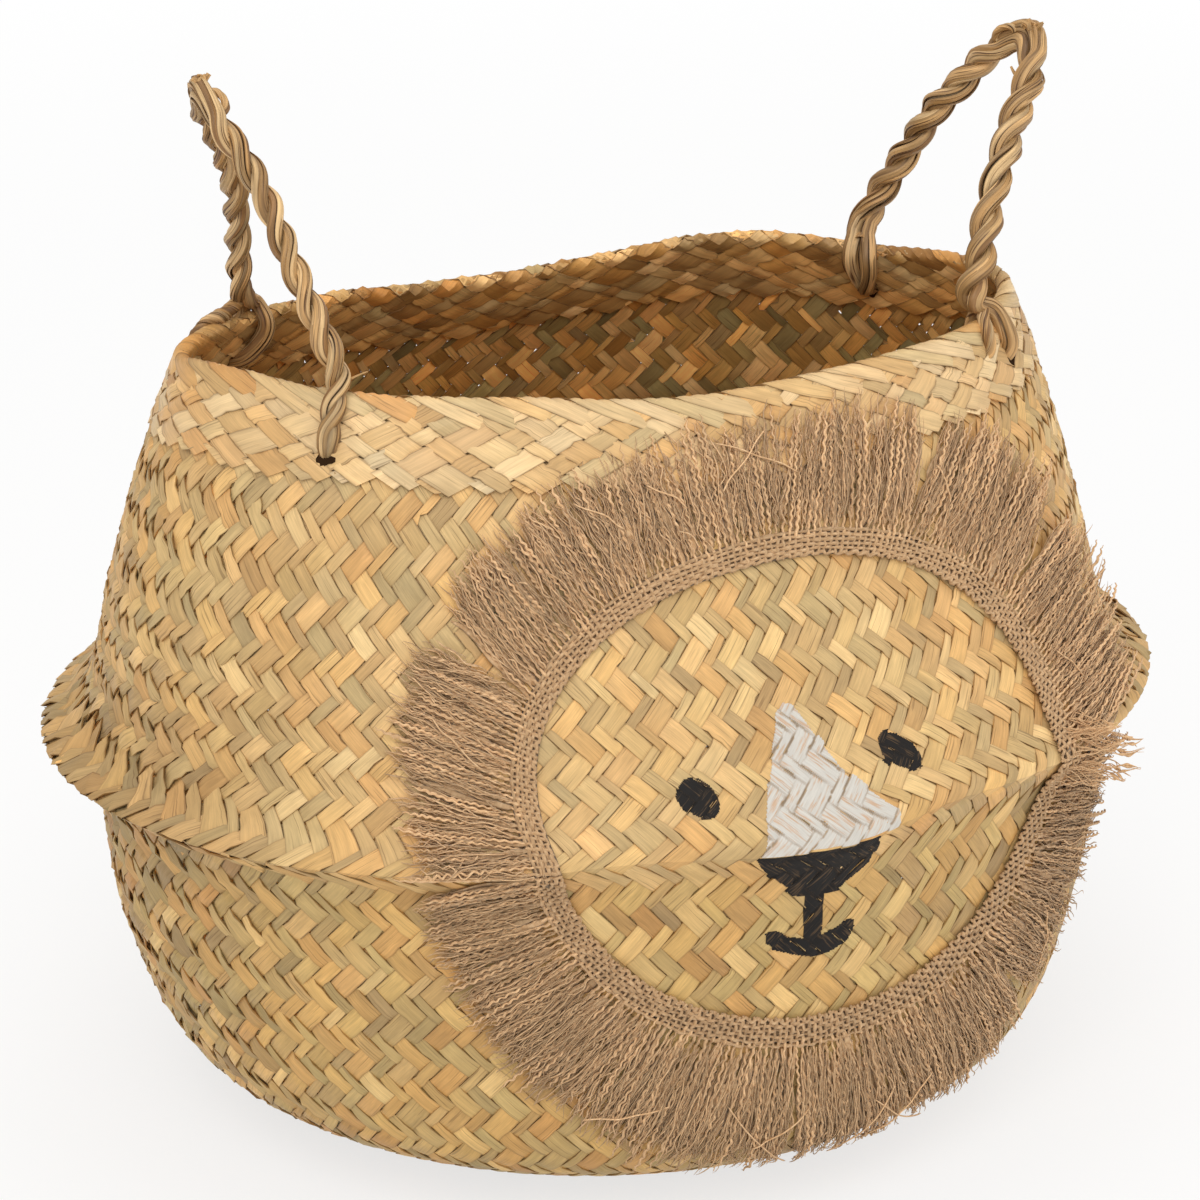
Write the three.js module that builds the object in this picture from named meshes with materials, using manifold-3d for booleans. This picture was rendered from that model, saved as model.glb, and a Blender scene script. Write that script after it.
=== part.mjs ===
// Woven seagrass storage basket: a folded belly, a turned rim, two twisted rope handles and a jute mane.
// Millimetres, +Z up. The origin is the centre of the base, on the floor. The painted face looks along -Y.
import * as THREE from "three";
import { mergeVertices } from "three/addons/utils/BufferGeometryUtils.js";
import Module from "manifold-3d";

const wasm = await Module();
wasm.setup();

// Oval sections of the wall, from the floor to the fold: height, half width along X, half depth along Y
const creaseHeight = 123;
const baseOval = { rise: 0, halfWidth: 80, halfDepth: 78 };
const heelOval = { rise: 4, halfWidth: 96, halfDepth: 90 };
const bilgeOval = { rise: 24, halfWidth: 136, halfDepth: 128 };
const bellyOval = { rise: 62, halfWidth: 152, halfDepth: 134 };
const foldRootDrop = 10;
const foldRootOval = { halfWidth: 161, halfDepth: 137 };
const creaseOval = { halfWidth: 175, halfDepth: 143 };

// Oval sections above the fold, with their heights counted from the crease
const shoulderOval = { rise: 9, halfWidth: 161, halfDepth: 135.5 };
const neckOval = { rise: 46, halfWidth: 153, halfDepth: 107 };
const collarOval = { rise: 80, halfWidth: 143.5, halfDepth: 91 };
const rimOval = { rise: 114, halfWidth: 130, halfDepth: 70 };

// Weave thickness, and the gaps that stand for pieces that touch
const wallThickness = 2.4;
const baseThickness = 2.4;
const seatGap = 0.3;
const skinGap = 0.5;

// Turned rim hem
const hemHeight = 25;
const hemSkin = 1.3;
const hemCrown = 1.8;

// Rope handles
const plyRadius = 2.3;
const plyOffset = 2.5;
const handleHalfSpan = 45;
const handleFootOut = 3.42;
const handleFootX =
  rimOval.halfWidth * Math.sqrt(1 - (handleHalfSpan / rimOval.halfDepth) ** 2) + handleFootOut;
const handleHeight = 75;
const handleFootDip = 4.3;
const handleBendHalfWidth = 12;
const handleBendDrop = 11;
const turnsPerLeg = 4.75;
const leftLeanDegrees = 15;
const rightLeanDegrees = 31;
const hingeRise = 5.3;
const knotStation = 0.66;
const knotTube = 1.8;

// Rope eyes through the hem
const eyeRadius = 2.2;
const eyeDrop = 16;
const eyeHoleRadius = 3.4;

// Jute mane: the tape's inner edge and the fringe's tips are ovals laid on the wall.
// Across is measured along the weave from the front centre, and up is measured from the crease.
const trimWidth = 47.5;
const maneInner = {
  across: creaseOval.halfWidth * 0.04,
  up: 14,
  halfWidth: creaseOval.halfWidth * 0.48,
  halfHeight: 70.5,
};
const maneOuter = {
  across: creaseOval.halfWidth * 0.0857,
  up: 7.5,
  halfWidth: maneInner.halfWidth + trimWidth,
  halfHeight: maneInner.halfHeight + trimWidth,
};
const tapeWidth = 10.5;
const tapeThickness = 2;
const fringeRootThickness = 4;
const fringeTipThickness = 2;
const fringeLift = 2.4;
const upperFringeCount = 5;
const lowerFringeCount = 4;

// Painted face, laid on the weave with the same two measures as the mane
const paintThickness = 0.4;
const creaseClear = 0.9;
const eyeSpot = { leftAcross: -32.5, rightAcross: 30.8, up: 20.5, halfWidth: 5.2, halfHeight: 5.6 };
const muzzle = { footLeft: -19.5, footRight: 22.5, tipLeft: -2.4, tipRight: 3.2, height: 43.5 };
const nose = { topLeft: -21, topRight: 17.5, sideDrop: 11, sideLeft: -13.4, sideRight: 15.5, depth: 17.7 };
const noseTip = { left: -5.2, right: 7.3 };
const stem = { halfWidth: 2.9, bottom: 28.6 };
const noseToStem = 0.5;
const smile = { across: 0.2, halfWidth: 14.5, top: 28.8, sag: 5.4, thickness: 5.6 };

// Facets
const facetsAround = 54;
const openLevels = 8;
const foldLevels = 5;
const profileSamples = 240;
const plySides = 5;
const plySteps = 80;
const eyeSides = 6;
const eyeSteps = 22;

const rimSection = rimOval.rise + creaseHeight;
const halfTurn = Math.PI;
const frontAngle = -Math.PI / 2;

const between = (from, to, count) =>
  Array.from({ length: count + 1 }, (_, i) => from + ((to - from) * i) / count);

// One half of the wall, below or above the crease, measured along its front line
class WallHalf {
  constructor(ovals, sign, rootSlant) {
    const points = ovals.map((oval) => new THREE.Vector3(oval.halfWidth, oval.halfDepth, oval.height));
    this.sign = sign;
    this.samples = new THREE.CatmullRomCurve3(points, false, "centripetal").getPoints(profileSamples);
    this.slants = [0];
    for (let i = 1; i < this.samples.length; i++) {
      const step = this.samples[i].clone().sub(this.samples[i - 1]);
      this.slants.push(this.slants[i - 1] + Math.hypot(step.y, step.z));
    }
    this.length = this.slants[this.slants.length - 1];
    this.facet(rootSlant);
  }

  // Levels of the wall's rings: close together at the fold and wider apart beyond its root.
  // The profile is straight between them, so what is laid on the wall follows its facets.
  facet(rootSlant) {
    const fold = between(0, rootSlant, foldLevels);
    const open = between(rootSlant, this.length, openLevels).slice(1);
    const levels = [...fold, ...open];
    const rings = levels.map((slant) => this.section(slant * this.sign));
    this.samples = rings;
    this.slants = levels;
  }

  // Half width, half depth and height of the section that lies the given slant away from the crease
  section(up) {
    const slant = Math.min(Math.max(up * this.sign, 0), this.length);
    let i = 1;
    while (i < this.slants.length - 1 && this.slants[i] < slant) i++;
    const share = (slant - this.slants[i - 1]) / (this.slants[i] - this.slants[i - 1]);
    return this.samples[i - 1].clone().lerp(this.samples[i], share);
  }

  surface(angle, up) {
    const oval = this.section(up);
    return new THREE.Vector3(oval.x * Math.cos(angle), oval.y * Math.sin(angle), oval.z);
  }

  normal(angle, up) {
    const step = 0.5;
    const low = Math.max(Math.min(up * this.sign - step, this.length - 2 * step), 0) * this.sign;
    const high = low + 2 * step * this.sign;
    const along = this.surface(angle, high).sub(this.surface(angle, low)).multiplyScalar(this.sign);
    const around = this.surface(angle + 0.001, up).sub(this.surface(angle - 0.001, up));
    return around.cross(along).normalize();
  }

  // Point at an angle round the basket, a slant from the crease and a lift off the outer face
  point(angle, up, lift = 0) {
    return this.surface(angle, up).addScaledVector(this.normal(angle, up), lift);
  }

  // Angle of the point that lies the given arc away from the front centre, at one slant
  angleAt(across, up) {
    const oval = this.section(up);
    const step = 0.5 * Math.sign(across);
    let angle = frontAngle;
    let left = Math.abs(across);
    while (left > 0) {
      const speed = Math.hypot(oval.x * Math.sin(angle), oval.y * Math.cos(angle));
      const stride = Math.min(Math.abs(step), left);
      angle += (Math.sign(step) * stride) / speed;
      left -= stride;
    }
    return angle;
  }

  onFace(across, up, lift) {
    return this.point(this.angleAt(across, up), up, lift);
  }
}

const atHeight = (oval, height) => ({ ...oval, height });
const foldReach = 1.9;
const crease = atHeight(creaseOval, creaseHeight);

const lowerHalf = new WallHalf(
  [
    crease,
    atHeight(foldRootOval, creaseHeight - foldRootDrop),
    atHeight(bellyOval, bellyOval.rise),
    atHeight(bilgeOval, bilgeOval.rise),
    atHeight(heelOval, heelOval.rise),
    atHeight(baseOval, baseOval.rise),
  ],
  -1,
  foldReach * Math.hypot(creaseOval.halfDepth - foldRootOval.halfDepth, foldRootDrop),
);

const upperHalf = new WallHalf(
  [
    crease,
    atHeight(shoulderOval, creaseHeight + shoulderOval.rise),
    atHeight(neckOval, creaseHeight + neckOval.rise),
    atHeight(collarOval, creaseHeight + collarOval.rise),
    atHeight(rimOval, rimSection),
  ],
  1,
  foldReach * Math.hypot(creaseOval.halfDepth - shoulderOval.halfDepth, shoulderOval.rise),
);

const wallTop = upperHalf.length - hemCrown;
const hemBottom = upperHalf.length - hemHeight;

// Closed mesh from a list of points and a list of faces, turned so that its faces point out
function closedGeometry(points, faces) {
  const geometry = new THREE.BufferGeometry().setFromPoints(points);
  const volume = faces.reduce((sum, [a, b, c]) => {
    return sum + points[a].dot(new THREE.Vector3().crossVectors(points[b], points[c]));
  }, 0);
  const outward = volume > 0 ? faces : faces.map(([a, b, c]) => [a, c, b]);
  geometry.setIndex(outward.flat());
  return geometry;
}

// Ring-shaped solid from the loops of points that run round its section
function loopedSolid(rings) {
  const count = rings[0].length;
  const faces = [];
  for (let i = 0; i < rings.length; i++) {
    const here = i * count;
    const next = ((i + 1) % rings.length) * count;
    for (let j = 0; j < count; j++) {
      const k = (j + 1) % count;
      faces.push([here + j, here + k, next + k], [here + j, next + k, next + j]);
    }
  }
  return closedGeometry(rings.flat(), faces);
}

const anglesAround = Array.from({ length: facetsAround }, (_, i) => (i / facetsAround) * 2 * halfTurn);
const wallRing = (half, up, lift) => anglesAround.map((angle) => half.point(angle, up, lift));
const ovalRing = (halfWidth, halfDepth, height) =>
  anglesAround.map((angle) => {
    return new THREE.Vector3(halfWidth * Math.cos(angle), halfDepth * Math.sin(angle), height);
  });

// Sheet of even thickness that lies on the wall, from a map of the unit square to across and up
function skin(half, columns, rows, place, liftAt, thicknessAt) {
  const points = [];
  const faces = [];
  const stride = rows + 1;
  const layer = (columns + 1) * stride;
  for (const side of [0, 1]) {
    for (const s of between(0, 1, columns)) {
      for (const t of between(0, 1, rows)) {
        const { across, up } = place(s, t);
        points.push(half.onFace(across, up, liftAt(t) + side * thicknessAt(t)));
      }
    }
  }
  for (let i = 0; i < columns; i++) {
    for (let j = 0; j < rows; j++) {
      const a = i * stride + j;
      const b = a + 1;
      const c = a + stride;
      const d = c + 1;
      faces.push([a, b, d], [a, d, c]);
      faces.push([a + layer, d + layer, b + layer], [a + layer, c + layer, d + layer]);
    }
  }
  const border = [];
  for (let j = 0; j < rows; j++) border.push(j);
  for (let i = 0; i < columns; i++) border.push(i * stride + rows);
  for (let j = rows; j > 0; j--) border.push(columns * stride + j);
  for (let i = columns; i > 0; i--) border.push(i * stride);
  border.forEach((a, i) => {
    const b = border[(i + 1) % border.length];
    faces.push([a, b + layer, b], [a, a + layer, b + layer]);
  });
  return closedGeometry(points, faces);
}

// Solids for cutting
function toManifold(geometry) {
  const bare = geometry.clone();
  bare.deleteAttribute("normal");
  bare.deleteAttribute("uv");
  const merged = mergeVertices(bare, 1e-3);
  const mesh = new wasm.Mesh({
    numProp: 3,
    vertProperties: merged.attributes.position.array,
    triVerts: new Uint32Array(merged.index.array),
  });
  return new wasm.Manifold(mesh);
}

function fromManifold(solid) {
  const mesh = solid.getMesh();
  const geometry = new THREE.BufferGeometry();
  geometry.setAttribute("position", new THREE.BufferAttribute(mesh.vertProperties, 3));
  geometry.setIndex(new THREE.BufferAttribute(mesh.triVerts, 1));
  return geometry;
}

// Finishes
const finish = (color, roughness) => () => new THREE.MeshStandardMaterial({ color, roughness, metalness: 0 });
const seagrass = finish(0xd2ab72, 0.62);
const seagrassBase = finish(0xc09a63, 0.66);
const paleSeagrass = finish(0xdfbd87, 0.58);
const rope = finish(0xa98a62, 0.7);
const jute = finish(0xb59878, 0.9);
const whitePaint = finish(0xdad8d2, 0.75);
const blackPaint = finish(0x2c2622, 0.7);

const basket = new THREE.Group();

function addPiece(name, geometry, material, parent = basket) {
  const bare = geometry.index ? geometry.toNonIndexed() : geometry;
  bare.computeVertexNormals();
  const mesh = new THREE.Mesh(bare, material());
  mesh.name = name;
  parent.add(mesh);
  return mesh;
}

// Base disc, flat on the floor inside the foot of the wall
function baseDisc() {
  const outline = new THREE.Shape();
  outline.absellipse(0, 0, baseOval.halfWidth - seatGap, baseOval.halfDepth - seatGap, 0, 2 * halfTurn);
  return new THREE.ExtrudeGeometry(outline, {
    depth: baseThickness,
    bevelEnabled: false,
    curveSegments: facetsAround / 2,
  });
}
addPiece("base_disc", baseDisc(), seagrassBase);

// Both walls meet at the crease on flat faces as deep as the pinched fold
const foldInnerWidth = Math.min(foldRootOval.halfWidth, shoulderOval.halfWidth) - wallThickness;
const foldInnerDepth = Math.min(foldRootOval.halfDepth, shoulderOval.halfDepth) - wallThickness;
const foldFace = (height) => ovalRing(foldInnerWidth, foldInnerDepth, height);

function lowerWall() {
  const outside = lowerHalf.slants.map((slant) => -slant).reverse();
  const inside = between(-lowerHalf.slants[foldLevels], -lowerHalf.length + wallThickness, openLevels);
  const rings = outside.map((up) => wallRing(lowerHalf, up, 0));
  rings[rings.length - 1].forEach((point) => (point.z = creaseHeight - seatGap / 2));
  rings.push(foldFace(creaseHeight - seatGap / 2));
  rings.push(...inside.map((up) => wallRing(lowerHalf, up, -wallThickness)));
  rings.push(ovalRing(baseOval.halfWidth, baseOval.halfDepth, baseThickness));
  return loopedSolid(rings);
}
addPiece("lower_wall", lowerWall(), seagrass);

// Hole through the wall and hem for one rope eye
const feet = [
  { name: "left_front", side: -1, front: -1 },
  { name: "left_back", side: -1, front: 1 },
  { name: "right_front", side: 1, front: -1 },
  { name: "right_back", side: 1, front: 1 },
];
const footAngle = (foot) => {
  const oval = upperHalf.section(upperHalf.length);
  return Math.atan2((foot.front * handleHalfSpan) / oval.y, (foot.side * handleFootX) / oval.x);
};
const hemMiddle = -wallThickness / 2;
const hemHalf = wallThickness / 2 + seatGap + hemSkin;

function eyeHole(foot) {
  const length = 8 * hemHalf;
  const drill = new THREE.CylinderGeometry(eyeHoleRadius, eyeHoleRadius, length, 14);
  const angle = footAngle(foot);
  const up = upperHalf.length - eyeDrop;
  const turn = new THREE.Quaternion().setFromUnitVectors(
    new THREE.Vector3(0, 1, 0),
    upperHalf.normal(angle, up),
  );
  drill.applyQuaternion(turn);
  const centre = upperHalf.point(angle, up, hemMiddle);
  drill.translate(centre.x, centre.y, centre.z);
  return toManifold(drill);
}

function withEyeHoles(geometry) {
  let solid = toManifold(geometry);
  for (const foot of feet) solid = solid.subtract(eyeHole(foot));
  return fromManifold(solid);
}

function upperWall() {
  const outside = [...upperHalf.slants.slice(0, -1), wallTop];
  const inside = between(wallTop, upperHalf.slants[foldLevels], openLevels);
  const rings = outside.map((up) => wallRing(upperHalf, up, 0));
  rings[0].forEach((point) => (point.z = creaseHeight + seatGap / 2));
  rings.push(...inside.map((up) => wallRing(upperHalf, up, -wallThickness)));
  rings.push(foldFace(creaseHeight + seatGap / 2));
  return loopedSolid(rings);
}
addPiece("upper_wall", withEyeHoles(upperWall()), seagrass);

// Turned hem: a channel that sits over the top edge of the wall
function rimHem() {
  const outer = seatGap + hemSkin;
  const inner = -wallThickness - seatGap - hemSkin;
  const crown = upperHalf.length;
  const shoulder = wallTop;
  const rings = [];
  for (const up of between(hemBottom, shoulder, 2)) rings.push(wallRing(upperHalf, up, outer));
  rings.push(wallRing(upperHalf, crown, seatGap));
  rings.push(wallRing(upperHalf, crown, -wallThickness - seatGap));
  for (const up of between(shoulder, hemBottom, 2)) rings.push(wallRing(upperHalf, up, inner));
  for (const up of between(hemBottom, shoulder + seatGap, 2)) {
    rings.push(wallRing(upperHalf, up, -wallThickness - seatGap));
  }
  for (const up of between(shoulder + seatGap, hemBottom, 2)) {
    rings.push(wallRing(upperHalf, up, seatGap));
  }
  return loopedSolid(rings);
}
addPiece("rim_hem", withEyeHoles(rimHem()), paleSeagrass);

// Rope eyes: each passes over the rim, down both faces of the hem and through its hole
const rimTop = (foot) => upperHalf.point(footAngle(foot), upperHalf.length, hemMiddle);
const eyeReach = hemHalf + 2 * seatGap + eyeRadius;
const eyeCorner = 0.4;
const eyeTop = rimSection + 2 * seatGap + eyeRadius;

function ropeEye(foot) {
  const angle = footAngle(foot);
  const place = (drop, lift) => upperHalf.point(angle, upperHalf.length - drop, hemMiddle + lift);
  const top = rimTop(foot);
  top.z = eyeTop;
  const corner = 2.2;
  const path = new THREE.CatmullRomCurve3(
    [
      top,
      place(eyeCorner, eyeReach),
      place(eyeDrop / 2, eyeReach),
      place(eyeDrop - corner, eyeReach),
      place(eyeDrop, eyeReach - corner),
      place(eyeDrop, -eyeReach + corner),
      place(eyeDrop - corner, -eyeReach),
      place(eyeDrop / 2, -eyeReach),
      place(eyeCorner, -eyeReach),
    ],
    true,
    "centripetal",
  );
  return new THREE.TubeGeometry(path, eyeSteps, eyeRadius, eyeSides, true);
}
for (const foot of feet) addPiece("rope_eye_" + foot.name, ropeEye(foot), rope);

// Centre line of one handle in its own plane: across the basket's depth, and up along the lean
const legLine = [
  [handleHalfSpan, -handleFootDip],
  [handleHalfSpan * 0.989, handleHeight * 0.08],
  [handleHalfSpan * 0.87, handleHeight * 0.24],
  [handleHalfSpan * 0.68, handleHeight * 0.44],
  [handleHalfSpan * 0.46, handleHeight * 0.65],
  [handleBendHalfWidth, handleHeight - handleBendDrop],
];
const mirrored = legLine.map(([across, up]) => [-across, up]).reverse();
const ropeLine = new THREE.CatmullRomCurve3(
  [...legLine, [0, handleHeight], ...mirrored].map(([across, up]) => new THREE.Vector3(0, across, up)),
  false,
  "centripetal",
);
ropeLine.arcLengthDivisions = 400;
const ropeLength = ropeLine.getLength();
const bendShare = (2 * handleBendHalfWidth) / ropeLength;

// Twist of the two plies: they turn along both legs and lie side by side round the bend
function plyAngle(share) {
  const legShare = (1 - bendShare) / 2;
  const firstLeg = Math.min(share / legShare, 1);
  const secondLeg = Math.max((share - legShare - bendShare) / legShare, 0);
  return halfTurn / 2 + (firstLeg + secondLeg) * turnsPerLeg * 2 * halfTurn;
}

class PlyLine extends THREE.Curve {
  constructor(phase) {
    super();
    this.phase = phase;
  }

  getPoint(share) {
    const centre = ropeLine.getPointAt(share);
    const tangent = ropeLine.getTangentAt(share);
    const side = new THREE.Vector3(0, tangent.z, -tangent.y);
    const angle = plyAngle(share) + this.phase;
    centre.x += plyOffset * Math.cos(angle);
    return centre.addScaledVector(side, plyOffset * Math.sin(angle));
  }
}

function plySolid(phase) {
  const outline = new THREE.Shape();
  outline.absarc(0, 0, plyRadius, 0, 2 * halfTurn);
  return new THREE.ExtrudeGeometry(outline, {
    steps: plySteps,
    bevelEnabled: false,
    curveSegments: plySides / 2,
    extrudePath: new PlyLine(phase),
  });
}

// Whipping round the front leg, just below the bend
function knotSolid() {
  const ring = new THREE.TorusGeometry(plyOffset + plyRadius + seatGap + knotTube, knotTube, 6, 16);
  const share = 0.5 + bendShare * knotStation;
  const turn = new THREE.Quaternion().setFromUnitVectors(
    new THREE.Vector3(0, 0, 1),
    ropeLine.getTangentAt(share),
  );
  ring.applyQuaternion(turn);
  const centre = ropeLine.getPointAt(share);
  ring.translate(centre.x, centre.y, centre.z);
  return ring;
}

function addHandle(name, side, leanDegrees) {
  const handle = new THREE.Group();
  handle.position.set(side * handleFootX, 0, eyeTop + eyeRadius + hingeRise);
  handle.rotation.y = side * THREE.MathUtils.degToRad(leanDegrees);
  basket.add(handle);
  addPiece(name + "_ply_a", plySolid(0), rope, handle);
  addPiece(name + "_ply_b", plySolid(halfTurn), rope, handle);
  addPiece(name + "_knot", knotSolid(), rope, handle);
}
addHandle("handle_left", -1, leftLeanDegrees);
addHandle("handle_right", 1, rightLeanDegrees);

// Point of the mane on one half of the wall: turn runs round that half, and reach goes out to the tips
const onOval = (oval, angle) => ({
  across: oval.across + oval.halfWidth * Math.cos(angle),
  up: oval.up + oval.halfHeight * Math.sin(angle),
});
function manePoint(half, turn, reach) {
  const sweep = (oval) => {
    const dip = Math.asin(oval.up / oval.halfHeight);
    const start = half === upperHalf ? -dip : halfTurn + dip;
    const span = half === upperHalf ? halfTurn + 2 * dip : halfTurn - 2 * dip;
    return onOval(oval, start + span * turn);
  };
  const inner = sweep(maneInner);
  const outer = sweep(maneOuter);
  const up = inner.up + (outer.up - inner.up) * reach;
  return {
    across: inner.across + (outer.across - inner.across) * reach,
    up: half === upperHalf ? Math.max(up, creaseClear) : Math.min(up, -creaseClear),
  };
}
const maneReach = maneOuter.halfHeight - maneInner.halfHeight;
const tapeReach = tapeWidth / maneReach;
const fringeStart = (tapeWidth + seatGap) / maneReach;

function maneTape(half) {
  const place = (s, t) => manePoint(half, s, t * tapeReach);
  return skin(half, 36, 2, place, () => skinGap, () => tapeThickness);
}

function maneFringe(half, index, count) {
  const sectorArc = (halfTurn * maneInner.halfHeight) / count;
  const slit = seatGap / sectorArc;
  const place = (s, t) => {
    const turn = (index + slit + (1 - 2 * slit) * s) / count;
    return manePoint(half, turn, fringeStart + (1 - fringeStart) * t);
  };
  const thickness = (t) => fringeRootThickness + (fringeTipThickness - fringeRootThickness) * t;
  return skin(half, 10, 4, place, (t) => skinGap + fringeLift * t, thickness);
}

addPiece("mane_tape_upper", maneTape(upperHalf), jute);
addPiece("mane_tape_lower", maneTape(lowerHalf), jute);
for (let i = 0; i < upperFringeCount; i++) {
  addPiece("mane_fringe_upper_" + (i + 1), maneFringe(upperHalf, i, upperFringeCount), jute);
}
for (let i = 0; i < lowerFringeCount; i++) {
  addPiece("mane_fringe_lower_" + (i + 1), maneFringe(lowerHalf, i, lowerFringeCount), jute);
}

// Paint: thin coats laid on the weave
const mix = (from, to, share) => from + (to - from) * share;
const paintSkin = (half, columns, rows, place) =>
  skin(half, columns, rows, place, () => skinGap, () => paintThickness);

function eyePaint(across) {
  const tip = 0.14;
  const place = (s, t) => {
    const angle = mix(-halfTurn / 2 + tip, halfTurn / 2 - tip, t);
    return {
      across: across + mix(-1, 1, s) * eyeSpot.halfWidth * Math.cos(angle),
      up: eyeSpot.up + eyeSpot.halfHeight * Math.sin(angle),
    };
  };
  return paintSkin(upperHalf, 3, 7, place);
}
addPiece("paint_eye_left", eyePaint(eyeSpot.leftAcross), blackPaint);
addPiece("paint_eye_right", eyePaint(eyeSpot.rightAcross), blackPaint);

function muzzlePaint() {
  const place = (s, t) => ({
    across: mix(mix(muzzle.footLeft, muzzle.tipLeft, t), mix(muzzle.footRight, muzzle.tipRight, t), s),
    up: mix(creaseClear, muzzle.height, t),
  });
  return paintSkin(upperHalf, 6, 7, place);
}
addPiece("paint_muzzle", muzzlePaint(), whitePaint);

function nosePaint() {
  const stemTop = nose.depth;
  const edges = [
    [creaseClear, nose.topLeft, nose.topRight],
    [nose.sideDrop, nose.sideLeft, nose.sideRight],
    [stemTop, noseTip.left, noseTip.right],
    [stemTop + noseToStem, -stem.halfWidth, stem.halfWidth],
    [stem.bottom, -stem.halfWidth, stem.halfWidth],
  ];
  const place = (s, t) => {
    const station = t * (edges.length - 1);
    const i = Math.min(Math.floor(station), edges.length - 2);
    const [drop, left, right] = edges[i].map((value, k) => mix(value, edges[i + 1][k], station - i));
    return { across: mix(left, right, s), up: -drop };
  };
  return paintSkin(lowerHalf, 5, 8, place);
}
addPiece("paint_nose", nosePaint(), blackPaint);

function mouthPaint() {
  const place = (s, t) => {
    const share = mix(-1, 1, s);
    const curve = smile.sag * (1 - share * share);
    return {
      across: smile.across + share * smile.halfWidth,
      up: -(smile.top + paintThickness + curve * 0.5 + t * mix(2, smile.thickness, 1 - share * share)),
    };
  };
  return paintSkin(lowerHalf, 8, 2, place);
}
addPiece("paint_mouth", mouthPaint(), blackPaint);

export default basket;
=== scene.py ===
import math

import bpy
import numpy as np
from bpy.props import FloatProperty, FloatVectorProperty, IntProperty, PointerProperty
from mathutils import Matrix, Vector
from mathutils.bvhtree import BVHTree


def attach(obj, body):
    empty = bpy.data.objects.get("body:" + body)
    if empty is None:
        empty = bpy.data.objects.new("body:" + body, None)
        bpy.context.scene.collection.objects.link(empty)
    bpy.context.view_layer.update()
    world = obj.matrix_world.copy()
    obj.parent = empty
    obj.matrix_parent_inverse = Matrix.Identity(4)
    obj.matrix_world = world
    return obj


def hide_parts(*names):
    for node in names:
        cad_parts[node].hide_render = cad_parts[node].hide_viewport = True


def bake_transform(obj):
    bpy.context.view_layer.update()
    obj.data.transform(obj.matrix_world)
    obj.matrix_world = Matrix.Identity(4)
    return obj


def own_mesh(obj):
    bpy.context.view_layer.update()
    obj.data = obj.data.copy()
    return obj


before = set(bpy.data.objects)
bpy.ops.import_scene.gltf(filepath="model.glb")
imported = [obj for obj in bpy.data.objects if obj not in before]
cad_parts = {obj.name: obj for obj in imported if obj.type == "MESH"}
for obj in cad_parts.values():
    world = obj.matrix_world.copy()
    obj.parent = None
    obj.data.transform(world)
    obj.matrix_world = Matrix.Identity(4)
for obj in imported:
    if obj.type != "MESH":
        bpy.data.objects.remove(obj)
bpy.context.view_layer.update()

bl_info = {
    "name": "Woven storage basket",
    "version": (1, 0, 0),
    "blender": (4, 5, 0),
    "location": "View3D > Sidebar > Basket",
    "description": "A folded seagrass basket with rope handles, a jute mane and a painted face",
    "category": "Object",
}

# Lengths in the shape code are millimetres; meshes are written in metres
MM = 0.001
TURN = 2 * math.pi
RING_STEPS = 720

# Wall sections (half width, half depth, height), from the crease down to the floor and up to the rim
CREASE = 123.0
LOWER_OVALS = [(175, 143, 123), (161, 137, 113), (152, 134, 62), (136, 128, 24), (96, 90, 4), (80, 78, 0)]
UPPER_OVALS = [(175, 143, 123), (161, 135.5, 132), (153, 107, 169), (143.5, 91, 203), (130, 70, 237)]
HEM_HEIGHT = 25.0
BASE_LIP = 2.0

# Jute mane: inner edge and tips, as ovals laid on the wall (across, up, half width, half height)
MANE_INNER = (7.0, 14.0, 84.0, 70.5)
MANE_OUTER = (15.0, 7.5, 131.5, 122.0)
MANE_REACH = MANE_OUTER[3] - MANE_INNER[3]
TAPE_WIDTH = 7.8

# Handle line in its own plane (across the basket, up), and where it stands
LEG_LINE = [(45.2, -9), (44.5, 6), (39.2, 18), (30.6, 33), (20.7, 48.8), (12, 64)]
HANDLE_TOP = 75.0
HANDLE_FOOT_X = 103.0
FOOT_HALF_SPAN = 45
HINGE_HEIGHT = 247.3
HANDLE_LEAN = {-1: 15, 1: 31}
BEND_RUN = 24

# How far the soft rim and the front crease stand off level: share of a turn from the front centre, then lift
RIM_WAVE = [(0, -4.6), (0.05, -3.6), (0.1, -3.2), (0.15, -3.4), (0.185, -1.5), (0.22, -0.4), (0.26, -1)]
RIM_WAVE += [(0.307, -2.6), (0.34, -0.6), (0.375, 1.8), (0.41, 0.4), (0.45, -3.2), (0.5, -6), (0.55, -5.4)]
RIM_WAVE += [(0.6, -2.2), (0.65, -1), (0.7, 0), (0.74, 1.8), (0.765, 5.2), (0.79, 6), (0.82, 3.4)]
RIM_WAVE += [(0.85, 2), (0.88, 1), (0.92, -0.2), (0.95, -2.6), (0.98, -4.2)]
CREASE_WAVE = [(0, -0.6), (0.017, -0.4), (0.026, 2.6), (0.045, 4.6), (0.09, 2), (0.13, 0.5), (0.2, 0)]
CREASE_WAVE += [(0.78, -0.8), (0.84, -0.9), (0.89, 0), (0.92, 1.5), (0.941, 3.5), (0.961, 2.9), (0.981, 0.7)]

# The camera's place round and above the basket, and its right on the floor
CAMERA_TURN, CAMERA_RISE = math.radians(-25), math.radians(21.5)
CAMERA_RIGHT = np.array([0.906, -0.423, 0])
# In metres: how far the camera stands off the place it looks at, and that place's offset and height
CAMERA_AWAY, AIM_LEFT, AIM_HEIGHT = 1.1, 0.002, 0.146


def linear(red, green, blue):
    """A colour picked in sRGB, 0 to 255, as the linear numbers that Blender works in."""
    picked = [c / 255 for c in (red, green, blue)]
    return tuple(c / 12.92 if c <= 0.04045 else ((c + 0.055) / 1.055) ** 2.4 for c in picked)


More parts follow.
